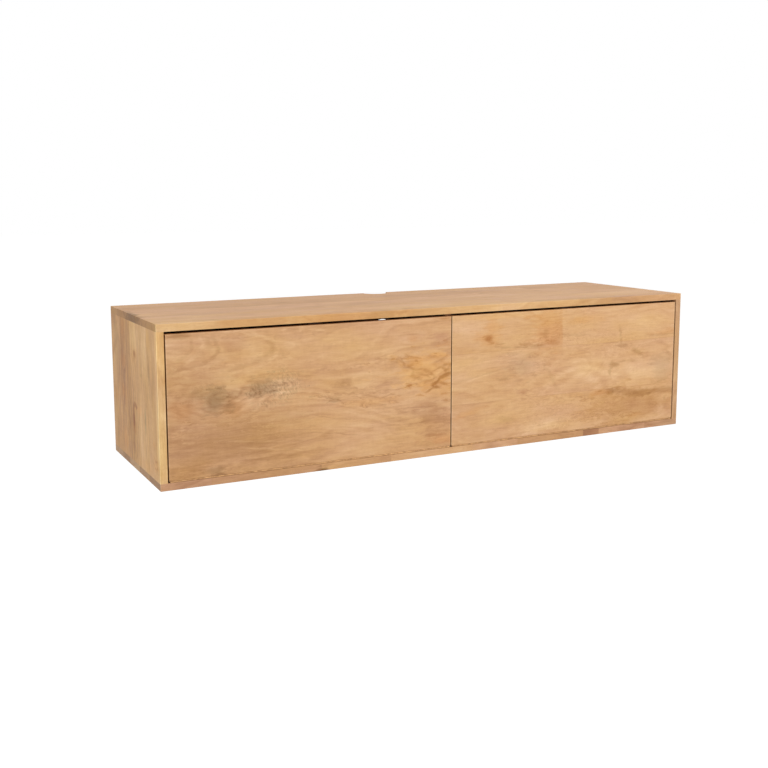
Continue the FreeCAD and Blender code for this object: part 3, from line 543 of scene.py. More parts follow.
def line(
    kind: MarkKind, strength: float, half_width: float, *points: tuple[float, float]
) -> tuple[Mark, ...]:
    """Draws a winding line as a chain of slim marks.

    Args:
        kind: the kind of the marks.
        strength: their strength.
        half_width: half the line's width in millimetres.
        points: the line's corners, along and across the grain.

    Returns:
        One mark for each stretch between two corners.
    """
    marks = []
    for (along, across), (next_along, next_across) in zip(points, points[1:]):
        run, rise = next_along - along, next_across - across
        middle = (along + run / 2, across + rise / 2)
        reach = LINK_REACH * math.hypot(run, rise) + half_width
        turn = -math.degrees(math.atan2(rise, run))
        marks.append(Mark(kind, *middle, reach, half_width, strength, turn))
    return tuple(marks)



def spots(kind: MarkKind, *rows: Sequence[float]) -> tuple[Mark, ...]:
    """Makes marks of one kind.

    Args:
        kind: what the marks are.
        rows: along, across, half length, half width and strength, then the turn and the stop.

    Returns:
        One mark for each row.
    """
    return tuple(Mark(kind, *row) for row in rows)


@dataclass(frozen=True)
class Block:
    """One length of timber in a board: where it starts along the grain, and how it differs."""

    start: float
    tone: float = 0.0
    blush: float = 0.0


@dataclass(frozen=True)
class Board:
    """One of the boards glued edge to edge: its lower edge across the grain and its blocks."""

    low: float
    blocks: tuple[Block, ...]


def boards_of(*rows: Sequence[Any]) -> tuple[Board, ...]:
    """Lays boards edge to edge.

    Args:
        rows: a board's lower edge, then the start, tone and blush of each of its blocks.

    Returns:
        One board for each row.
    """
    return tuple(
        Board(low, tuple(Block(*block) for block in blocks or [(EDGE,)])) for low, *blocks in rows
    )


@dataclass(frozen=True)
class TimberFinish:
    """Oiled light hardwood on one panel.

    The colour runs from deep to pale with the figure's tone, whose contrast can be raised. A
    board's own tone and blush shift it, marks tint it, pores, glue lines and end grain darken it,
    and the upright rounded edges get a painted highlight: paler colour where light catches the arris.
    """

    name: str
    grain: Grain = Grain.FRONT_BOARD
    boards: tuple[Board, ...] = boards_of((EDGE,))
    marks: tuple[Mark, ...] = ()
    seed: float = 0.0
    deep: Colour = (164, 116, 74)
    middle: Colour = (207, 162, 116)
    pale: Colour = (236, 200, 154)
    lines: float = 1.0
    contrast: float = 1.0
    end_tint: Tint = (0.60, 0.58, 0.56, 1)
    roughness: tuple[float, float] = (0.50, 0.62)

    def material(self) -> Material:
        """Draws the finish.

        Returns:
            The material.
        """
        made, sheet = blank_material(self.name)
        own_place, facing = sheet.object_place()
        place = self._grain_frame(sheet, own_place)
        (own_tone, own_blush, seed), seams = self._board_state(sheet, place)
        moved = self._moved_place(sheet, place, seed)
        masks, pull, weight = self._marks(sheet, place, moved)
        figure = sheet.use(EffectGroups.get(_timber_figure), Place=moved, Pull=pull, Lines=weight)
        shift = sheet.math("ADD", own_tone, MEAN - MEAN * self.contrast)
        tone = sheet.math("MULTIPLY_ADD", figure["Tone"], self.contrast, shift)
        deepest = [part * DEEPEST_SHARE for part in self.deep]
        shades = zip(SHADE_STOPS, (deepest, self.deep, self.middle, self.pale))
        colour = sheet.ramp(tone, [(position, linear(*shade)) for position, shade in shades])
        colour = self._blushed(sheet, colour, figure["Blush"], own_blush)
        grain_axis = tuple(float(axis == self.grain.value[0]) for axis in range(3))
        edges = sheet.use(EffectGroups.get(_arris_and_end), Facing=facing, Grain=grain_axis)
        layers = [(mask, kind.value.tint) for kind, mask in masks.items()] + [
            (sheet.math("MULTIPLY", figure["Pores"], PORE_SHARE), PORE_TINT),
            (seams, SEAM_TINT),
            (edges["End"], self.end_tint),
            # painted highlight on the upright rounded edges, not a real change in the timber's colour
            (edges["Arris"], ARRIS_HIGHLIGHT_TINT),
        ]
        for mask, tint in layers:
            colour = sheet.mix(mask, colour, tint, "MULTIPLY")
        height = sheet.math("MULTIPLY_ADD", figure["Pores"], -PORE_DEPTH, figure["Relief"])
        surface = sheet.shader(
            "BsdfPrincipled",
            IOR=1.46,
            Specular_IOR_Level=0.4,
            Base_Color=colour,
            Roughness=sheet.remap(figure["Relief"], (0.7, 1.3), self.roughness),
            Normal=sheet.shader("Bump", Strength=0.35, Distance=0.00012, Height=height),
        )
        sheet.show(surface)
        return made

    def _grain_frame(self, sheet: NodeSheet, place: Socket) -> Socket:
        """Turns a place so that the grain runs along its first axis."""
        parts = sheet.parts(place)
        return sheet.joined(*(parts[axis] for axis in self.grain.value))

    def _board_state(self, sheet: NodeSheet, place: Socket) -> tuple[Sequence[Socket], Socket | float]:
        """Works out the tone, blush and seed of the block at a place, and the glue lines.

        The state starts at the first block's values, and each edge or joint that the place has
        passed adds the change to the next block.

        Args:
            sheet: the material's sheet.
            place: the place, with the grain along its first axis.

        Returns:
            The block's tone, blush and seed, and the mask of the glue lines.
        """
        along, across, _ = sheet.parts(place)
        boards = sorted(self.boards, key=lambda board: board.low)

        def values(index: int, block: Block, number: int) -> np.ndarray:
            """Gives a block's tone, blush and seed."""
            seed = self.seed + BOARD_SEED * index + BLOCK_SEED * number
            return np.array([block.tone, block.blush, seed])

        now = values(0, boards[0].blocks[0], 0)
        state: Feed = tuple(now)
        seams: Socket | float = 0.0
        edges = [sheet.math("GREATER_THAN", across, board.low * MM) for board in boards[1:]]
        passed = [1.0, *edges, 0.0]
        for index, board in enumerate(boards):
            first = values(index, board.blocks[0], 0)
            if index:
                change = tuple(first - now)
                state = sheet.vector("MULTIPLY_ADD", passed[index], change, state)
                seam = sheet.math("COMPARE", across, board.low * MM, SEAM_HALF)
                seams = sheet.math("MULTIPLY_ADD", seam, SEAM_SHARE, seams)
            now = before = first
            inside = None
            for number, block in enumerate(board.blocks[1:], start=1):
                if inside is None:
                    inside = sheet.math("SUBTRACT", passed[index], passed[index + 1])
                over = sheet.math("GREATER_THAN", along, block.start * MM)
                here = values(index, block, number)
                share = sheet.math("MULTIPLY", over, inside)
                state = sheet.vector("MULTIPLY_ADD", share, tuple(here - before), state)
                before = here
        return sheet.parts(state), seams

    def _moved_place(self, sheet: NodeSheet, place: Socket, seed: Socket) -> Socket:
        """Moves the pattern by the block's seed, so that no two blocks show the same timber."""
        scatter = sheet.fill(sheet.add("TexWhiteNoise", noise_dimensions="1D"), W=seed)
        return sheet.vector("MULTIPLY_ADD", scatter.outputs["Color"], SCATTER, place)

    def _marks(
        self, sheet: NodeSheet, place: Socket, moved: Socket
    ) -> tuple[dict[MarkKind, Socket], Socket | float, Socket | float]:
        """Adds up the marks of each kind, and what they do to the growth lines.

        Args:
            sheet: the material's sheet.
            place: the place on the panel, with the grain along its first axis.
            moved: the same place in the block's own timber.

        Returns:
            A mask for each kind, how far the growth lines are pulled, and their weight.
        """
        if not self.marks:
            return {}, 0.0, self.lines
        ragged = sheet.spread(moved, Feature.RAGGED, 3.0, 0.6)
        rim = sheet.stretched(moved, Feature.RIM, 3, 0.65)
        shift = tuple(-0.5 * reach for reach in SHAKE)
        shake = sheet.vector("MULTIPLY_ADD", ragged.outputs[1], SHAKE, shift)
        ragged_place = sheet.vector("ADD", place, shake)
        along = sheet.parts(place)[0]
        masks: dict[MarkKind, Socket] = {}
        pull: Socket | float = 0.0
        weight: Socket | float = self.lines
        for mark in self.marks:
            look = mark.kind.value
            only_lines = mark.kind in (MarkKind.SWIRL, MarkKind.SLOPE)
            shape = sheet.use(
                EffectGroups.get(_timber_mark),
                Place=place if only_lines else ragged_place,
                Centre=(mark.along * MM, mark.across * MM, mark.depth * MM),
                Size=(mark.half_length * MM, mark.half_width * MM, mark.half_depth * MM),
                Turn=math.radians(mark.turn),
                Ragged=rim,
            )
            if look.pull:
                pull = sheet.math("MULTIPLY_ADD", shape["Cone"], look.pull * mark.strength, pull)
            mask = shape["Soft"]
            if look.weight:
                weight = sheet.math("MULTIPLY_ADD", mask, look.weight, weight)
            if only_lines:
                offset = sheet.parts(shape["Offset"])
                if mark.kind is MarkKind.SWIRL:
                    pull = sheet.math("MULTIPLY_ADD", offset[1], -CLIMB, pull)
                else:
                    pull = sheet.math("MULTIPLY_ADD", offset[0], CLIMB * mark.strength, pull)
                continue
            if mark.stop is not None:
                mask = sheet.math("MULTIPLY", mask, sheet.math("LESS_THAN", along, mark.stop * MM))
            mask = sheet.math("MULTIPLY", mask, mark.strength)
            known = masks.get(mark.kind)
            masks[mark.kind] = sheet.math("MAXIMUM", mask, known) if known else mask
        if MarkKind.SPECKLE in masks:
            shaken = sheet.vector("MULTIPLY_ADD", shake, (1.0, 1.0, 0.0), moved)
            specks = sheet.stretched(sheet.turned(shaken, SPECK_SLANT), Feature.SPECK, 3, 0.75)
            broken = sheet.remap(specks, (0.4, 0.66))
            masks[MarkKind.SPECKLE] = sheet.math("MULTIPLY", masks[MarkKind.SPECKLE], broken)
        return masks, pull, weight

    def _blushed(self, sheet: NodeSheet, colour: Socket, drift: Socket, shift: Socket) -> Socket:
        """Leans the colour towards pink or towards yellow."""
        tint = sheet.mix(sheet.remap(sheet.math("ADD", drift, shift), (0.2, 0.8)), YELLOW_LEAN, PINK_LEAN)
        return sheet.mix(1.0, colour, tint, "MULTIPLY")


# ---- metal, plastic and felt


class Brush(Enum):
    """The direction in which metal was brushed, as hairlines per metre along each axis."""

    ALONG_X = (60, 2600, 2600)
    ALONG_Z = (2600, 2600, 60)
    NONE = (700, 700, 700)


@dataclass(frozen=True)
class HardFinish:
    """Metal or plastic with handling marks: two shades, two roughnesses and fine relief."""

    name: str
    clean: Colour
    soiled: Colour
    metallic: float
    roughness: tuple[float, float]
    brush: Brush = Brush.NONE
    relief: float = 0.00004

    def material(self) -> Material:
        """Draws the finish.

        Returns:
            The material.
        """
        made, sheet = blank_material(self.name)
        place, _ = sheet.object_place()
        brush = tuple(map(float, self.brush.value))
        marks = sheet.use(EffectGroups.get(_handling_marks), Place=place, Brush=brush)
        worn = sheet.math("MULTIPLY_ADD", marks["Hairline"], HAIRLINE_SHARE, marks["Smudge"])
        surface = sheet.shader(
            "BsdfPrincipled",
            Metallic=self.metallic,
            Base_Color=sheet.mix(marks["Smudge"], linear(*self.clean), linear(*self.soiled)),
            Roughness=sheet.remap(worn, (0.0, 1.0 + HAIRLINE_SHARE), self.roughness),
            Normal=sheet.shader("Bump", Strength=0.4, Distance=self.relief, Height=marks["Hairline"]),
        )
        sheet.show(surface)
        return made


BRONZE = HardFinish("AgedBronze", (206, 160, 108), (170, 126, 82), 0.5, (0.42, 0.6), Brush.ALONG_X)
STEEL = HardFinish("ZincedSteel", (186, 188, 190), (160, 160, 158), 1.0, (0.28, 0.42), Brush.ALONG_Z)
SCREW_STEEL = HardFinish("BrightZinc", (196, 194, 186), (166, 162, 150), 1.0, (0.25, 0.4))
STRIKE_STEEL = HardFinish("NickelPlate", (192, 190, 184), (170, 168, 162), 1.0, (0.22, 0.36), Brush.ALONG_X)
PLASTIC = HardFinish("BrownPlastic", (104, 70, 46), (92, 62, 42), 0.0, (0.42, 0.55), relief=0.00008)
MAGNET = HardFinish("DarkFerrite", (58, 57, 58), (44, 43, 44), 0.1, (0.6, 0.75), relief=0.0001)
FELT = HardFinish("BumperFelt", (168, 148, 122), (146, 126, 100), 0.0, (0.9, 1.0), relief=0.0003)


def dress(finish: "TimberFinish | HardFinish", *nodes: str) -> None:
    """Gives CAD nodes one finish.

    Args:
        finish: the finish, whose material is built here once.
        nodes: names of the CAD nodes.
    """
    material = finish.material()
    for name in nodes:
        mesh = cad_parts[name].data
        mesh.materials.clear()
        mesh.materials.append(material)
        LOG.info("%s wears %s", name, finish.name)


# ---- screws


class HeadSide(Enum):
    """The direction in which a row's screw heads point."""

    UP = (0, 0, 1)
    DOWN = (0, 0, -1)
    REAR = (0, 1, 0)
    OWN_PANEL = (1, 0, 0)


@dataclass
class ScrewSet:
    """Wood screws with a domed head, a cross recess and a pointed shank."""

    node: str
    body: str
    side: HeadSide
    head_radius: float = 2.1 * MM
    head_height: float = 0.75 * MM
    shank_radius: float = 1.2 * MM
    recess_depth: float = 0.5 * MM
    recess_reach: float = 1.15 * MM
    recess_half: float = 0.3 * MM
    recess_wall: float = 0.2 * MM
    recess_end: float = 0.3 * MM
    shank_length: float = 12 * MM
    row_gap: float = 4 * MM
    rings: tuple[float, ...] = (0.14, 0.28, 0.42, 0.55, 0.68, 0.84, 0.95, 1.0)
    dome_fall: float = 0.45
    rim_share: float = 0.3
    straight_share: float = 0.82
    point_share: float = 0.95
    point_width: float = 0.55
    steps_round: int = 32
    side_zone: float = 340 * MM

    def build(self, material: Material) -> bpy.types.Object:
        """Makes one mesh with every screw of the CAD node and puts it in the node's place.

        Args:
            material: what the screws are made of.

        Returns:
            The new piece.
        """
        boxes = self._boxes()
        points, faces = [], []
        count = 0
        for low, high in boxes:
            ring, quads = self._screw(low, high)
            points.append(ring)
            faces.extend((np.array(face) + count).tolist() for face in quads)
            count += len(ring)
        mesh = bpy.data.meshes.new(f"{self.node}_drawn")
        mesh.from_pydata(np.concatenate(points).tolist(), [], faces)
        mesh.validate()
        mesh.shade_smooth()
        mesh.materials.append(material)
        piece = bpy.data.objects.new(f"{self.node}_drawn", mesh)
        bpy.context.scene.collection.objects.link(piece)
        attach(piece, self.body)
        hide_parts(self.node)
        LOG.info("%s: %d screws", self.node, len(boxes))
        return piece

    def _boxes(self) -> list[tuple[np.ndarray, np.ndarray]]:
        """Parts the CAD node's screws at x = 0 and wherever a wide gap lies.

        Returns:
            The low and high corner of each screw's box.
        """
        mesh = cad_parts[self.node].data
        points = np.empty(len(mesh.vertices) * 3)
        mesh.vertices.foreach_get("co", points)
        points = points.reshape(-1, 3)
        left = points[:, 0] < 0
        groups = [group for group in (points[left], points[~left]) if len(group)]
        for axis in (0, 2, 1):
            split = []
            for group in groups:
                ordered = group[np.argsort(group[:, axis], kind="stable")]
                # A shank's two ends lie far apart along it, so there only a wider gap parts screws.
                steps = np.diff(ordered[:, axis])
                cuts = np.nonzero(steps > self._reach(axis) + self.row_gap)[0] + 1
                split.extend(np.split(ordered, cuts))
            groups = split
        return [(group.min(0), group.max(0)) for group in groups]

    def _reach(self, axis: int) -> float:
        """Gives how long a screw is along an axis, without its head."""
        return self.shank_length if self.side.value[axis] else 0.0

    def _screw(self, low: np.ndarray, high: np.ndarray) -> tuple[np.ndarray, list[list[int]]]:
        """Draws a screw into its box.

        The surface is r(u), h(u) turned by the angle v. On the head, h is a dome
        height * (1 - fall (r / R)^2) less the recess, whose depth fades over the cross
        min(|x|, |y|) < half width and max(|x|, |y|) < reach.

        Args:
            low, high: the corners of the screw's box.

        Returns:
            The screw's points and its faces.
        """
        axis = int(np.argmax(np.abs(self.side.value)))
        toward = float(self.side.value[axis])
        if self.side is HeadSide.OWN_PANEL:
            toward = self._own_direction(low, high)
        length = high[axis] - low[axis] - self.head_height
        others = [index for index in range(3) if index != axis]
        centre = (low + high) / 2
        base = high[axis] - self.head_height if toward > 0 else low[axis] + self.head_height

        radii = np.array(self.rings) * self.head_radius
        angles = np.arange(self.steps_round) * 2 * math.pi / self.steps_round
        flat_r, flat_a = np.meshgrid(radii, angles, indexing="ij")
        across = np.stack([flat_r * np.cos(flat_a), flat_r * np.sin(flat_a)], -1)
        dome = self.head_height * (1 - self.dome_fall * (flat_r / self.head_radius) ** 2)
        narrow = np.abs(across).min(-1)
        wide = np.abs(across).max(-1)
        cut = np.clip((self.recess_half - narrow) / self.recess_wall + 0.5, 0, 1)
        cut = cut * np.clip((self.recess_reach - wide) / self.recess_end + 0.5, 0, 1)
        height = dome - self.recess_depth * cut

        head, shank = self.head_radius, self.shank_radius
        profile = np.array(
            [
                (head, self.rim_share * self.head_height),
                (head, 0.0),
                (shank, 0.0),
                (shank, -self.straight_share * length),
                (self.point_width * shank, -self.point_share * length),
            ]
        )
        rim_r, rim_h = (column[:, None] * np.ones_like(angles) for column in profile.T)
        all_r = np.concatenate([flat_r, rim_r])
        all_h = np.concatenate([height, rim_h])

        rows, steps = all_r.shape
        points = np.empty((rows * steps + 2, 3))
        grid = points[:-2].reshape(rows, steps, 3)
        grid[..., others[0]] = centre[others[0]] + all_r * np.cos(angles)
        grid[..., others[1]] = centre[others[1]] + all_r * np.sin(angles)
        grid[..., axis] = base + toward * all_h
        for pole, place in ((-2, self.head_height - self.recess_depth), (-1, -length)):
            points[pole, others] = centre[others]
            points[pole, axis] = base + toward * place

        index = np.arange(rows * steps).reshape(rows, steps)
        after = np.roll(index, -1, axis=1)
        quads = np.stack([index[:-1], index[1:], after[1:], after[:-1]], -1).reshape(-1, 4)
        top = np.stack([np.full(steps, rows * steps), index[0], after[0]], -1)
        tip = np.stack([index[-1], np.full(steps, rows * steps + 1), after[-1]], -1)
        # (others, axis) is a right-handed frame for Z and X, and left-handed for Y.
        flipped = (toward > 0) == (axis == 1)
        faces = quads.tolist() + top.tolist() + tip.tolist()
        return points, [face[::-1] for face in faces] if flipped else faces

    def _own_direction(self, low: np.ndarray, high: np.ndarray) -> float:
        """Tells which way along X a stay bracket's screw head points: into its compartment."""
        middle = (low[0] + high[0]) / 2
        return float(np.copysign(1.0, -middle if abs(middle) > self.side_zone else middle))


# ---- the console


@dataclass
class CaseShell:
    """The case: top and bottom over two sides, a divider and a back panel."""

    side_contrast: float = 1.6

    def build(self) -> None:
        """Dresses every board of the case."""
        dress(self.top(), "top_panel")
        dress(self.bottom(), "bottom_panel")
        dress(self.left_side(), "left_side_panel")
        dress(self.right_side(), "right_side_panel")
        dress(self.divider(), "centre_divider")
        dress(self.back(), "back_panel")
        dress(self.dowels(), "case_dowels", "cleat_dowels")

    def top(self) -> TimberFinish:
        """Lays the top: long boards with a warm front one.

        Returns:
            The finish.
        """
        boards = boards_of(
            (EDGE, (EDGE, 0.03, -0.26), (-345, 0.0, -0.26), (-120, 0.01, -0.3), (250, 0.02, -0.26),
                (470, 0.0, -0.08)),
            (-168, (EDGE, 0.01, -0.1), (180, 0.02, -0.04)),
            (-70, (EDGE, 0.02, 0.02), (-260, 0.0, 0.0)),
            (36, (EDGE, -0.01, -0.02), (420, -0.01, 0.02)),
            (137, (EDGE, -0.02, 0.0), (60, -0.03, -0.04)),
        )
        kind = MarkKind
        marks = (
            *spots(kind.PALE, (-655, -200, 90, 34, 0.8), (185, -200, 140, 34, 0.35),
                (-700, 160, 10, 60, 0.3)),
            *spots(kind.RUST, (-480, -200, 130, 36, 0.4), (-280, -200, 180, 36, 0.75)),
            *spots(kind.STREAK, (-185, -200, 50, 34, 0.4), (450, -200, 90, 34, 0.35),
                (-700, -10, 14, 80, 0.9)),
            *spots(kind.SPALT, (-700, 0, 12, 60, 0.7)),
            *spots(kind.ROSE, (-700, -90, 10, 30, 0.4)),
        )
        return TimberFinish(
            "TopTimber", Grain.FLAT_BOARD, boards, marks, seed=3.1, lines=0.8,
            end_tint=(0.65, 0.585, 0.39, 1)
        )

    def bottom(self) -> TimberFinish:
        """Lays the bottom: short blocks of changing colour.

        Returns:
            The finish.
        """
        boards = boards_of(
            (EDGE, (EDGE, -0.12, 0.2), (-590, -0.1, 0.02), (-335, -0.04, -0.1), (-160, 0.03, -0.05),
                (60, -0.03, 0.05), (190, -0.1, -0.05), (390, -0.27, 0.2), (440, -0.11, 0.28),
                (590, -0.15, 0.26)),
            (-118, (EDGE, -0.03, 0.1), (-200, 0.04, -0.1), (300, 0.0, 0.1)),
            (-30, (EDGE, 0.03, 0.0), (90, -0.05, 0.1)),
            (57, (EDGE, -0.12, 0.1), (-420, 0.02, 0.0), (210, 0.04, -0.1)),
            (123, (EDGE, 0.0, 0.1), (-90, 0.03, 0.0)),
        )
        marks = (
            *spots(MarkKind.SPALT, (690, -200, 70, 40, 0.45)),
            Mark(MarkKind.SPALT, -334, -200, 20, 30, 1.0, half_depth=8),
            Mark(MarkKind.VEIN, -334, -200, 18, 30, 1.0, half_depth=8),
        )
        return TimberFinish(
            "BottomTimber", Grain.FLAT_BOARD, boards, marks, seed=8.6, end_tint=(0.665, 0.68, 0.615, 1)
        )

    def left_side(self) -> TimberFinish:
        """Lays the left side: upright staves with pin knots.

        Returns:
            The finish.
        """
        boards = boards_of(
            (EDGE, (EDGE, 0.13, -0.18)),
            (-183, (EDGE, 0.06, -0.1)),
            (-120, (EDGE, 0.09, -0.16)),
            (-50, (EDGE, 0.01, -0.18)),
            (22, (EDGE, -0.13, -0.16)),
            (60, (EDGE, -0.07, -0.16)),
            (113, (EDGE, -0.12, -0.12)),
        )
        kind = MarkKind
        marks = (
            *spots(kind.AMBER, (310, -200, 90, 18, 0.8), (305, -132, 34, 14, 0.7)),
            *spots(kind.PALE, (140, -200, 110, 18, 0.25), (270, -98, 80, 30, 0.6),
                (300, -20, 46, 50, 0.4), (92, -52, 50, 24, 0.4)),
            *spots(kind.KNOT, (265, -12, 16, 10, 1.0), (126, 6, 30, 11, 1.0)),
            *spots(kind.RUST, (262, -14, 26, 26, 0.35), (98, 5, 30, 14, 1.0), (308, 87, 34, 22, 0.8),
                (237, 92, 22, 28, 0.9), (163, 92, 24, 22, 1.0), (146, 166, 24, 18, 0.8),
                (55, 88, 34, 26, 0.8), (50, -172, 26, 22, 0.7), (92, -162, 9, 14, 0.8),
                (30, -100, 14, 60, 0.5)),
            *spots(kind.ROSE, (148, -8, 40, 34, 0.5), (52, 10, 30, 15, 1.0), (70, 140, 34, 22, 0.5)),
            *spots(kind.CORAL, (143, -44, 14, 26, 0.8)),
            *spots(kind.STREAK, (80, 16, 110, 36, 0.6), (225, -67, 8, 11, 0.6), (238, -132, 26, 8, 0.8),
                (190, -140, 20, 14, 0.4), (270, 55, 40, 22, 0.35)),
            *spots(kind.SPALT, (130, -95, 34, 7, 0.8), (265, 150, 80, 40, 0.4),
                (110, 180, 110, 24, 0.3)),
            *line(kind.KNOT, 0.8, 6, (138, 5), (151, -2), (152, -14), (143, -26)),
            *line(kind.KNOT, 0.5, 3, (68, -150), (56, -166), (60, -184)),
            *line(kind.KNOT, 0.5, 3, (48, -156), (40, -172), (46, -190)),
        )
        return TimberFinish(
            "LeftSideTimber", Grain.UPRIGHT_BOARD, boards, marks, seed=5.2, deep=(158, 110, 68),
            middle=(201, 156, 104), pale=(232, 196, 144), contrast=self.side_contrast
        )

    def right_side(self) -> TimberFinish:
        """Lays the right side: wider staves and a faint burr.

        Returns:
            The finish.
        """
        boards = boards_of(
            (EDGE, (EDGE, -0.11, 0.25)),
            (-183, (EDGE, 0.02, -0.1)),
            (-95, (EDGE, -0.02, 0.0)),
            (-12, (EDGE, 0.03, 0.05)),
            (84, (EDGE, -0.04, 0.1)),
        )
        marks = (
            *spots(MarkKind.PALE, (90, -200, 110, 18, 0.25)),
            *spots(MarkKind.KNOT, (220, 40, 12, 9, 0.7)),
            *spots(MarkKind.SPALT, (90, -60, 70, 20, 0.5)),
            *spots(MarkKind.GOLD, (180, 120, 70, 30, 0.6)),
        )
        return TimberFinish(
            "RightSideTimber", Grain.UPRIGHT_BOARD, boards, marks, seed=11.4, middle=(206, 166, 114)
        )

    def divider(self) -> TimberFinish:
        """Gives the divider's timber."""
        boards = boards_of((EDGE,), (-80, (EDGE, -0.04, 0.1)), (25, (EDGE, 0.03, 0.0)))
        return TimberFinish("DividerTimber", Grain.UPRIGHT_BOARD, boards, seed=14.9)

    def back(self) -> TimberFinish:
        """Gives the back panel's timber: wide, quiet and a little darker."""
        boards = boards_of((EDGE,), (120, (EDGE, -0.03, 0.05)), (232, (EDGE, 0.02, 0.0)))
        return TimberFinish("BackTimber", Grain.FRONT_BOARD, boards, seed=17.3, middle=(196, 150, 106))

    def dowels(self) -> TimberFinish:
        """Gives the dowels' pale beech."""
        shades = {"deep": (190, 148, 108), "middle": (222, 186, 146), "pale": (240, 214, 180)}
        return TimberFinish("DowelBeech", Grain.UPRIGHT_BOARD, seed=20.1, **shades)


@dataclass
class HangingRails:
    """The bevelled cleats on the case and the rails on the wall."""

    seed: float = 23.7

    def build(self) -> None:
        """Dresses the cleats and rails in the case's offcuts."""
        finish = TimberFinish("RailTimber", Grain.FRONT_BOARD, seed=self.seed, middle=(200, 154, 108))
        dress(finish, "left_case_cleat", "right_case_cleat", "left_wall_rail", "right_wall_rail")


@dataclass
class FlapDoor:
    """One door: its panel, continuous hinge, strike plate and stays."""

    name: str
    boards: tuple[Board, ...]
    marks: tuple[Mark, ...]
    seed: float
    lines: float = 1.0

    def build(self, screw_material: Material) -> None:
        """Dresses the door and its fittings and draws its screws.

        Args:
            screw_material: what the screws are made of.
        """
        name = self.name
        label = f"{name.capitalize()}DoorTimber"
        timber = TimberFinish(
            label, Grain.FRONT_BOARD, self.boards, self.marks, self.seed, lines=self.lines
        )
        stays = [
            f"{name}_{end}_stay_{part}" for end in ("outer", "inner") for part in ("bracket", "foot", "arm")
        ]
        dress(timber, f"{name}_door_panel")
        dress(BRONZE, *(f"{name}_hinge_{part}" for part in ("case_leaf", "door_leaf", "pin")))
        dress(STEEL, *stays, f"{name}_stay_pivots")
        dress(PLASTIC, f"{name}_catch_housing")
        dress(MAGNET, f"{name}_catch_magnet")
        dress(STRIKE_STEEL, f"{name}_catch_poles", f"{name}_strike_plate")
        door = f"{name}_door"
        for node, body, side in (
            (f"{name}_hinge_case_screws", "root", HeadSide.UP),
            (f"{name}_hinge_door_screws", door, HeadSide.DOWN),
            (f"{name}_strike_screws", door, HeadSide.REAR),
            (f"{name}_stay_foot_screws", door, HeadSide.REAR),
        ):
            ScrewSet(node, body, side).build(screw_material)


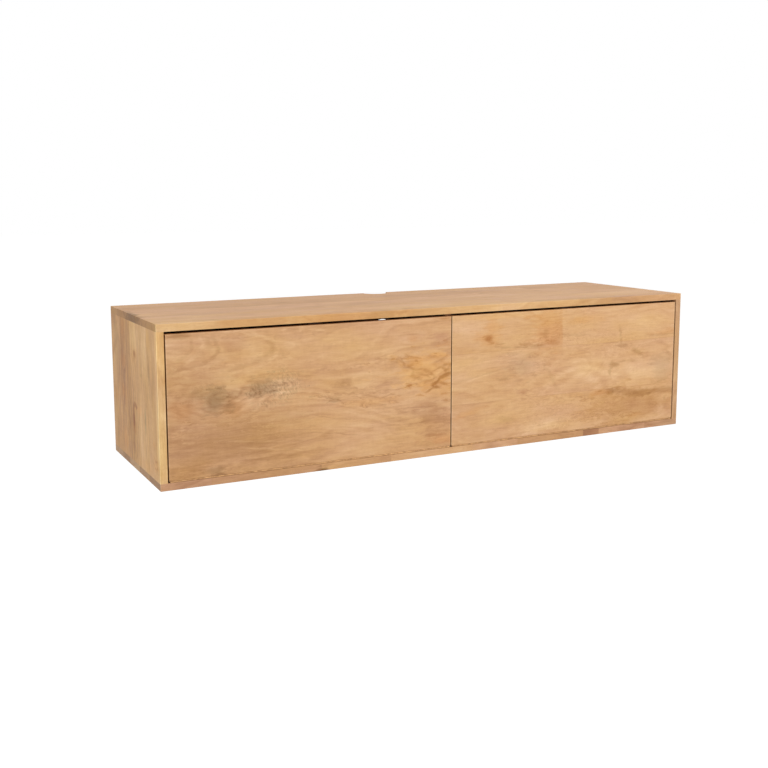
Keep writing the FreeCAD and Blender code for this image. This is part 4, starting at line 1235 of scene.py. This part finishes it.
def left_door() -> FlapDoor:
    """Lays out the left door: arched growth lines, two stains and a golden burr.

    Returns:
        The door.
    """
    kind = MarkKind
    arches = (
        *spots(kind.SWIRL, (-680, 290, 290, 72, 3.4)),
        *spots(kind.ROSE, (-537, 300, 40, 26, 0.6), (-590, 226, 90, 20, 0.3)),
        *spots(kind.STREAK, (-590, 306, 14, 16, 0.35), (-650, 323, 20, 9, 0.7)),
        *spots(kind.PALE, (-672, 290, 30, 30, 0.4)),
        *line(kind.PALE, 0.5, 6, (-540, 236), (-500, 243), (-460, 252), (-440, 266), (-434, 284),
            (-446, 300), (-476, 314)),
        *line(kind.STREAK, 0.35, 7, (-540, 246), (-500, 254), (-466, 264), (-451, 276), (-448, 288),
            (-458, 300)),
        *line(kind.STREAK, 0.4, 6.5, (-690, 244), (-650, 252), (-610, 259), (-588, 268), (-574, 282),
            (-570, 300), (-578, 314)),
        *line(kind.PALE, 0.35, 6, (-640, 266), (-620, 278), (-606, 290), (-601, 304), (-606, 318)),
        *line(kind.STREAK, 0.3, 6, (-660, 272), (-640, 280), (-628, 292), (-626, 308)),
    )
    stains = (
        *spots(kind.SWIRL, (-560, 186, 120, 60, 4.2)),
        *spots(kind.PALE, (-566, 212, 74, 26, 0.5), (-424, 196, 52, 30, 0.7),
            (-490, 172, 44, 20, 0.35)),
        *spots(kind.SPALT, (-578, 180, 36, 34, 0.85), (-604, 196, 40, 16, 0.4),
            (-545, 192, 46, 14, 0.35), (-476, 199, 40, 22, 0.65), (-456, 212, 14, 18, 0.45)),
        *spots(kind.RUST, (-540, 161, 32, 22, 0.55), (-652, 167, 38, 24, 0.6)),
        *spots(kind.STREAK, (-540, 166, 26, 16, 0.5), (-645, 160, 26, 14, 0.3)),
        *spots(kind.SPECKLE, (-480, 196, 34, 18, 0.9), (-424, 198, 54, 38, 0.9),
            (-462, 166, 44, 14, 0.6)),
        *spots(kind.ROSE, (-390, 205, 46, 14, 0.35)),
        *line(kind.VEIN, 0.3, 2.4, (-574, 192), (-546, 188), (-520, 181)),
        *line(kind.STREAK, 0.35, 2.5, (-690, 142), (-620, 144), (-540, 142), (-450, 143)),
    )
    middle = (
        *spots(kind.SWIRL, (-215, 200, 150, 44, 0.7)),
        *spots(kind.SPALT, (-305, 156, 22, 7, 0.5)),
        *spots(kind.PALE, (-240, 190, 70, 34, 0.45), (-140, 202, 44, 26, 0.55),
            (-320, 285, 190, 40, 0.35), (-180, 262, 80, 14, 0.35)),
        *spots(kind.KNOT, (-114, 175, 8, 5, 0.7)),
        *line(kind.VEIN, 0.3, 2.2, (-324, 150), (-314, 159), (-298, 160), (-286, 154)),
        *line(kind.VEIN, 0.35, 2.4, (-200, 243), (-160, 240), (-136, 234)),
        *line(kind.VEIN, 0.3, 2.0, (-165, 234), (-138, 231)),
        *line(kind.VEIN, 0.35, 2.4, (-222, 162), (-205, 158), (-190, 152), (-170, 156), (-160, 160),
            (-147, 155), (-134, 154)),
        *line(kind.VEIN, 0.3, 2.4, (-210, 164), (-184, 171), (-150, 168), (-126, 170), (-114, 175),
            (-92, 177)),
    )
    burr = (
        *spots(kind.GOLD, (-66, 205, 92, 50, 1.0)),
        *spots(kind.AMBER, (-100, 226, 40, 14, 0.8), (-40, 162, 60, 24, 0.8), (-30, 236, 40, 12, 0.7),
            (-200, 146, 120, 12, 0.6)),
        *spots(kind.ROSE, (-32, 282, 30, 11, 1.0), (-26, 262, 40, 8, 0.5)),
        *spots(kind.KNOT, (-18, 325, 26, 7, 0.6)),
        *spots(kind.RUST, (-104, 282, 16, 10, 0.5)),
        *line(kind.VEIN, 0.45, 4.4, (-132, 236), (-123, 219), (-98, 210)),
        *line(kind.VEIN, 0.36, 4.6, (-98, 210), (-78, 211), (-58, 202), (-46, 191), (-50, 183),
            (-78, 182), (-98, 192), (-102, 204)),
        *line(kind.VEIN, 0.3, 4.0, (-92, 202), (-72, 198), (-60, 189)),
        *line(kind.VEIN, 0.45, 4.4, (-42, 206), (-26, 211), (-10, 216)),
        *line(kind.VEIN, 0.5, 4.8, (-28, 210), (-18, 204), (-16, 196)),
        *line(kind.VEIN, 0.85, 5.0, (-8, 194), (-20, 191), (-32, 186), (-38, 176), (-50, 171),
            (-51, 165), (-36, 164)),
        *line(kind.VEIN, 0.7, 4.2, (-50, 165), (-64, 158)),
        *line(kind.VEIN, 0.4, 3.6, (-32, 174), (-18, 171)),
        *line(kind.VEIN, 0.25, 2.0, (-136, 292), (-88, 295)),
    )
    lower = (
        *spots(kind.SLOPE, (-380, 86, 460, 90, 0.07)),
        *spots(kind.SPALT, (-582, 32, 26, 14, 0.5)),
        *spots(kind.ROSE, (-620, 34, 80, 24, 0.4), (-36, 82, 60, 56, 0.6)),
        *spots(kind.STREAK, (-570, 95, 180, 70, 0.5), (-440, 130, 90, 40, 0.3),
            (-620, 180, 110, 120, 0.3), (-52, 108, 60, 36, 0.35)),
        *spots(kind.CORAL, (-20, 38, 50, 12, 0.8)),
        *spots(kind.PALE, (-160, 120, 130, 60, 0.3)),
        *line(kind.STREAK, 0.35, 1.8, (-595, 86), (-530, 76), (-465, 62), (-377, 56)),
        *line(kind.PALE, 0.45, 2.4, (-515, 72), (-470, 66), (-420, 58), (-385, 54)),
        *line(kind.STREAK, 0.35, 1.8, (-490, 102), (-400, 94), (-300, 82), (-230, 70)),
        *line(kind.PALE, 0.35, 2.2, (-560, 92), (-490, 84), (-420, 77)),
        *line(kind.STREAK, 0.3, 1.8, (-450, 141), (-365, 132), (-300, 115), (-230, 108)),
        *line(kind.PALE, 0.35, 2.2, (-400, 104), (-320, 96), (-240, 84)),
    )
    boards = boards_of((EDGE, (EDGE, 0.0, -0.08)))
    return FlapDoor("left", boards, arches + stains + middle + burr + lower, seed=1.7, lines=0.85)


def right_door() -> FlapDoor:
    """Lays out the right door: a jointed upper board, pin knots and a darker band.

    Returns:
        The door.
    """
    boards = boards_of(
        (EDGE, (EDGE, 0.03, -0.05)),
        (116, (EDGE, 0.05, -0.02)),
        (236, (EDGE, 0.05, -0.12)),
    )
    kind = MarkKind
    upper = (
        *spots(kind.KNOT, (104, 268, 15, 10, 0.8), (293, 245, 26, 8, 0.5, 0, 311)),
        *spots(kind.RUST, (103, 270, 38, 22, 0.8), (111, 292, 24, 24, 0.8),
            (280, 276, 60, 62, 0.9, 0, 318), (312, 258, 20, 36, 0.6, 0, 320), (645, 251, 60, 8, 0.6)),
        *spots(kind.AMBER, (110, 320, 130, 7, 0.6), (390, 300, 60, 12, 0.8)),
        *spots(kind.STREAK, (240, 243, 34, 7, 0.6), (268, 273, 16, 12, 0.4), (352, 262, 48, 7, 0.35),
            (502, 257, 6, 18, 0.5), (503, 238, 5, 12, 0.5), (640, 246, 70, 5, 0.4)),
        *line(kind.VEIN, 0.4, 2.2, (124, 252), (148, 252)),
        *line(kind.STREAK, 0.6, 3.5, (134, 245), (170, 243), (216, 241), (264, 240)),
        *line(kind.VEIN, 0.35, 2.0, (460, 235), (494, 233)),
    )
    middle = (
        *spots(kind.SWIRL, (380, 160, 170, 110, 2.2)),
        *spots(kind.SLOPE, (85, 185, 120, 44, -0.16)),
        *spots(kind.STREAK, (514, 225, 28, 6, 0.6), (558, 205, 20, 8, 0.7, 25), (486, 177, 18, 7, 0.8),
            (145, 168, 24, 5, 0.6)),
        *spots(kind.ROSE, (610, 190, 60, 20, 0.4), (204, 130, 20, 12, 0.8), (67, 223, 18, 6, 0.6),
            (30, 130, 26, 12, 0.4)),
        *spots(kind.SPALT, (640, 160, 40, 40, 0.35), (200, 198, 52, 34, 0.35)),
        *spots(kind.PALE, (540, 147, 110, 30, 0.4), (385, 160, 70, 44, 0.6)),
        *line(kind.STREAK, 0.5, 4.0, (500, 183), (530, 185), (560, 182)),
        *line(kind.STREAK, 0.6, 4.5, (482, 176), (474, 166), (472, 154)),
        *line(kind.STREAK, 0.25, 6.0, (266, 190), (282, 172), (294, 148), (310, 127)),
        *line(kind.STREAK, 0.25, 2.6, (20, 170), (80, 182), (145, 192)),
        *line(kind.PALE, 0.35, 3.0, (40, 168), (90, 180), (140, 188)),
    )
    lower = (
        *spots(kind.RUST, (38, 90, 52, 8, 0.6, -14), (440, 108, 44, 9, 0.7), (561, 39, 22, 6, 0.5)),
        *spots(kind.STREAK, (158, 66, 30, 10, 0.5), (482, 109, 36, 12, 1.0), (520, 105, 70, 12, 0.7),
            (565, 97, 90, 15, 1.0), (640, 98, 90, 13, 0.8), (550, 66, 170, 56, 0.55),
            (541, 74, 28, 6, 0.6), (482, 50, 22, 14, 0.6), (656, 70, 9, 18, 0.6)),
        *spots(kind.ROSE, (60, 40, 70, 24, 0.3)),
        *spots(kind.PALE, (262, 43, 76, 20, 1.0, -6)),
        *spots(kind.AMBER, (545, 70, 190, 60, 0.8)),
    )
    return FlapDoor("right", boards, upper + middle + lower, seed=6.4, lines=0.75)


@dataclass
class CaseFittings:
    """Studs, bumpers and the screws that belong to the whole case."""

    body: str = "root"

    def build(self, screw_material: Material) -> None:
        """Dresses the studs and bumpers and draws the case's own screws.

        Args:
            screw_material: what the screws are made of.
        """
        dress(STEEL, "stay_studs")
        dress(FELT, "door_bumpers")
        ScrewSet("catch_screws", self.body, HeadSide.DOWN).build(screw_material)
        ScrewSet("stay_bracket_screws", self.body, HeadSide.OWN_PANEL).build(screw_material)


# ---- studio


@dataclass(frozen=True)
class Lamp:
    """A soft rectangular lamp: where it stands, what it faces, its size and its power."""

    name: str
    place: Point
    target: Point
    size: tuple[float, float]
    watts: float

    def build(self) -> None:
        """Hangs the lamp."""
        data = bpy.data.lights.new(self.name, "AREA")
        data.shape = "RECTANGLE"
        data.size, data.size_y = self.size
        data.energy = self.watts
        lamp = bpy.data.objects.new(self.name, data)
        lamp.location = self.place
        lamp.rotation_euler = (Vector(self.target) - Vector(self.place)).to_track_quat("-Z", "Y").to_euler()
        bpy.context.scene.collection.objects.link(lamp)


@dataclass
class Studio:
    """The camera, the lamps and a pale floor below the hanging console."""

    eye: Point = (-1.25047, -2.26695, 0.61328)
    azimuth: float = 26.7013
    elevation: float = -7.8229
    roll: float = -0.1481
    focal: float = 1041.296
    centre: tuple[float, float] = (371.160, 335.953)
    image: float = 768.0
    sensor: float = 36.0
    floor_drop: float = 1.0
    floor_half: float = 40.0
    floor_grey: Tint = (0.8, 0.8, 0.8, 1.0)
    floor_lift: float = 0.56
    ambient: float = 0.56
    lamps: tuple[Lamp, ...] = (
        Lamp("key", (1.0, -2.9, 2.3), (0.1, -0.2, 0.2), (2.4, 1.8), 72.0),
        Lamp("side_fill", (-3.2, -0.6, 1.0), (-0.7, 0.0, 0.2), (2.0, 1.6), 19.0),
    )

    def build(self) -> None:
        """Sets the camera, background, floor and lamps."""
        scene = bpy.context.scene
        scene.view_settings.view_transform = "Standard"
        self._camera(scene)
        self._world(scene)
        self._floor()
        for lamp in self.lamps:
            lamp.build()

    def _camera(self, scene: bpy.types.Scene) -> None:
        """Places the camera from its viewing direction, focal length and principal point.

        Args:
            scene: the scene that looks through it.
        """
        azimuth, elevation, roll = map(math.radians, (self.azimuth, self.elevation, self.roll))
        ahead = Vector(
            (
                math.sin(azimuth) * math.cos(elevation),
                math.cos(azimuth) * math.cos(elevation),
                math.sin(elevation),
            )
        )
        level = Vector((math.cos(azimuth), -math.sin(azimuth), 0.0))
        upright = level.cross(ahead)
        right = level * math.cos(roll) + upright * math.sin(roll)
        above = upright * math.cos(roll) - level * math.sin(roll)
        data = bpy.data.cameras.new("camera")
        data.sensor_width = self.sensor
        data.lens = self.focal * self.sensor / self.image
        data.shift_x = 0.5 - self.centre[0] / self.image
        data.shift_y = self.centre[1] / self.image - 0.5
        camera = bpy.data.objects.new("camera", data)
        camera.location = self.eye
        camera.rotation_euler = Matrix((right, above, -ahead)).transposed().to_euler()
        scene.collection.objects.link(camera)
        scene.camera = camera

    @staticmethod
    def _seen_directly(sheet: NodeSheet) -> Socket:
        """Tells camera, glossy and transmitted rays from the rays that light the object.

        Args:
            sheet: the sheet to draw on.

        Returns:
            A mask, one for the rays that see the surface itself.
        """
        path = sheet.add("LightPath").outputs
        seen = sheet.math("MAXIMUM", path["Is Camera Ray"], path["Is Glossy Ray"])
        return sheet.math("MAXIMUM", seen, path["Is Transmission Ray"])

    def _world(self, scene: bpy.types.Scene) -> None:
        """Makes a white background that lights the object with a soft, even level.

        Args:
            scene: the scene round which it stands.
        """
        world = bpy.data.worlds.new("studio")
        world.use_nodes = True
        world.node_tree.nodes.clear()
        sheet = NodeSheet(world.node_tree)
        light = sheet.shader("Background", Color=WHITE, Strength=self.ambient)
        white = sheet.shader("Background", Color=WHITE, Strength=1.0)
        mixed = sheet.add("MixShader", self._seen_directly(sheet), light, white)
        sheet.show(mixed.outputs[0], "World")
        scene.world = world

    def _floor(self) -> None:
        """Lays the floor: matt and pale, lifted to white where the camera sees it unshaded."""
        half = self.floor_half
        corners = [(-half, -half), (half, -half), (half, half), (-half, half)]
        mesh = bpy.data.meshes.new("floor")
        mesh.from_pydata([(x, y, -self.floor_drop) for x, y in corners], [], [(0, 1, 2, 3)])
        floor = bpy.data.objects.new("floor", mesh)
        bpy.context.scene.collection.objects.link(floor)
        material, sheet = blank_material("PaleFloor")
        matt = sheet.shader("BsdfDiffuse", Color=self.floor_grey)
        strength = sheet.math("MULTIPLY", self._seen_directly(sheet), self.floor_lift)
        lift = sheet.shader("Emission", Color=WHITE, Strength=strength)
        sheet.show(sheet.add("AddShader", matt, lift).outputs[0])
        mesh.materials.append(material)


def main() -> None:
    """Builds the studio and dresses the console."""
    logging.basicConfig(level=logging.INFO, format="%(name)s: %(message)s")
    Studio().build()
    screw_material = SCREW_STEEL.material()
    CaseShell().build()
    HangingRails().build()
    for door in (left_door(), right_door()):
        door.build(screw_material)
    CaseFittings().build(screw_material)


if __name__ == "__main__":
    main()
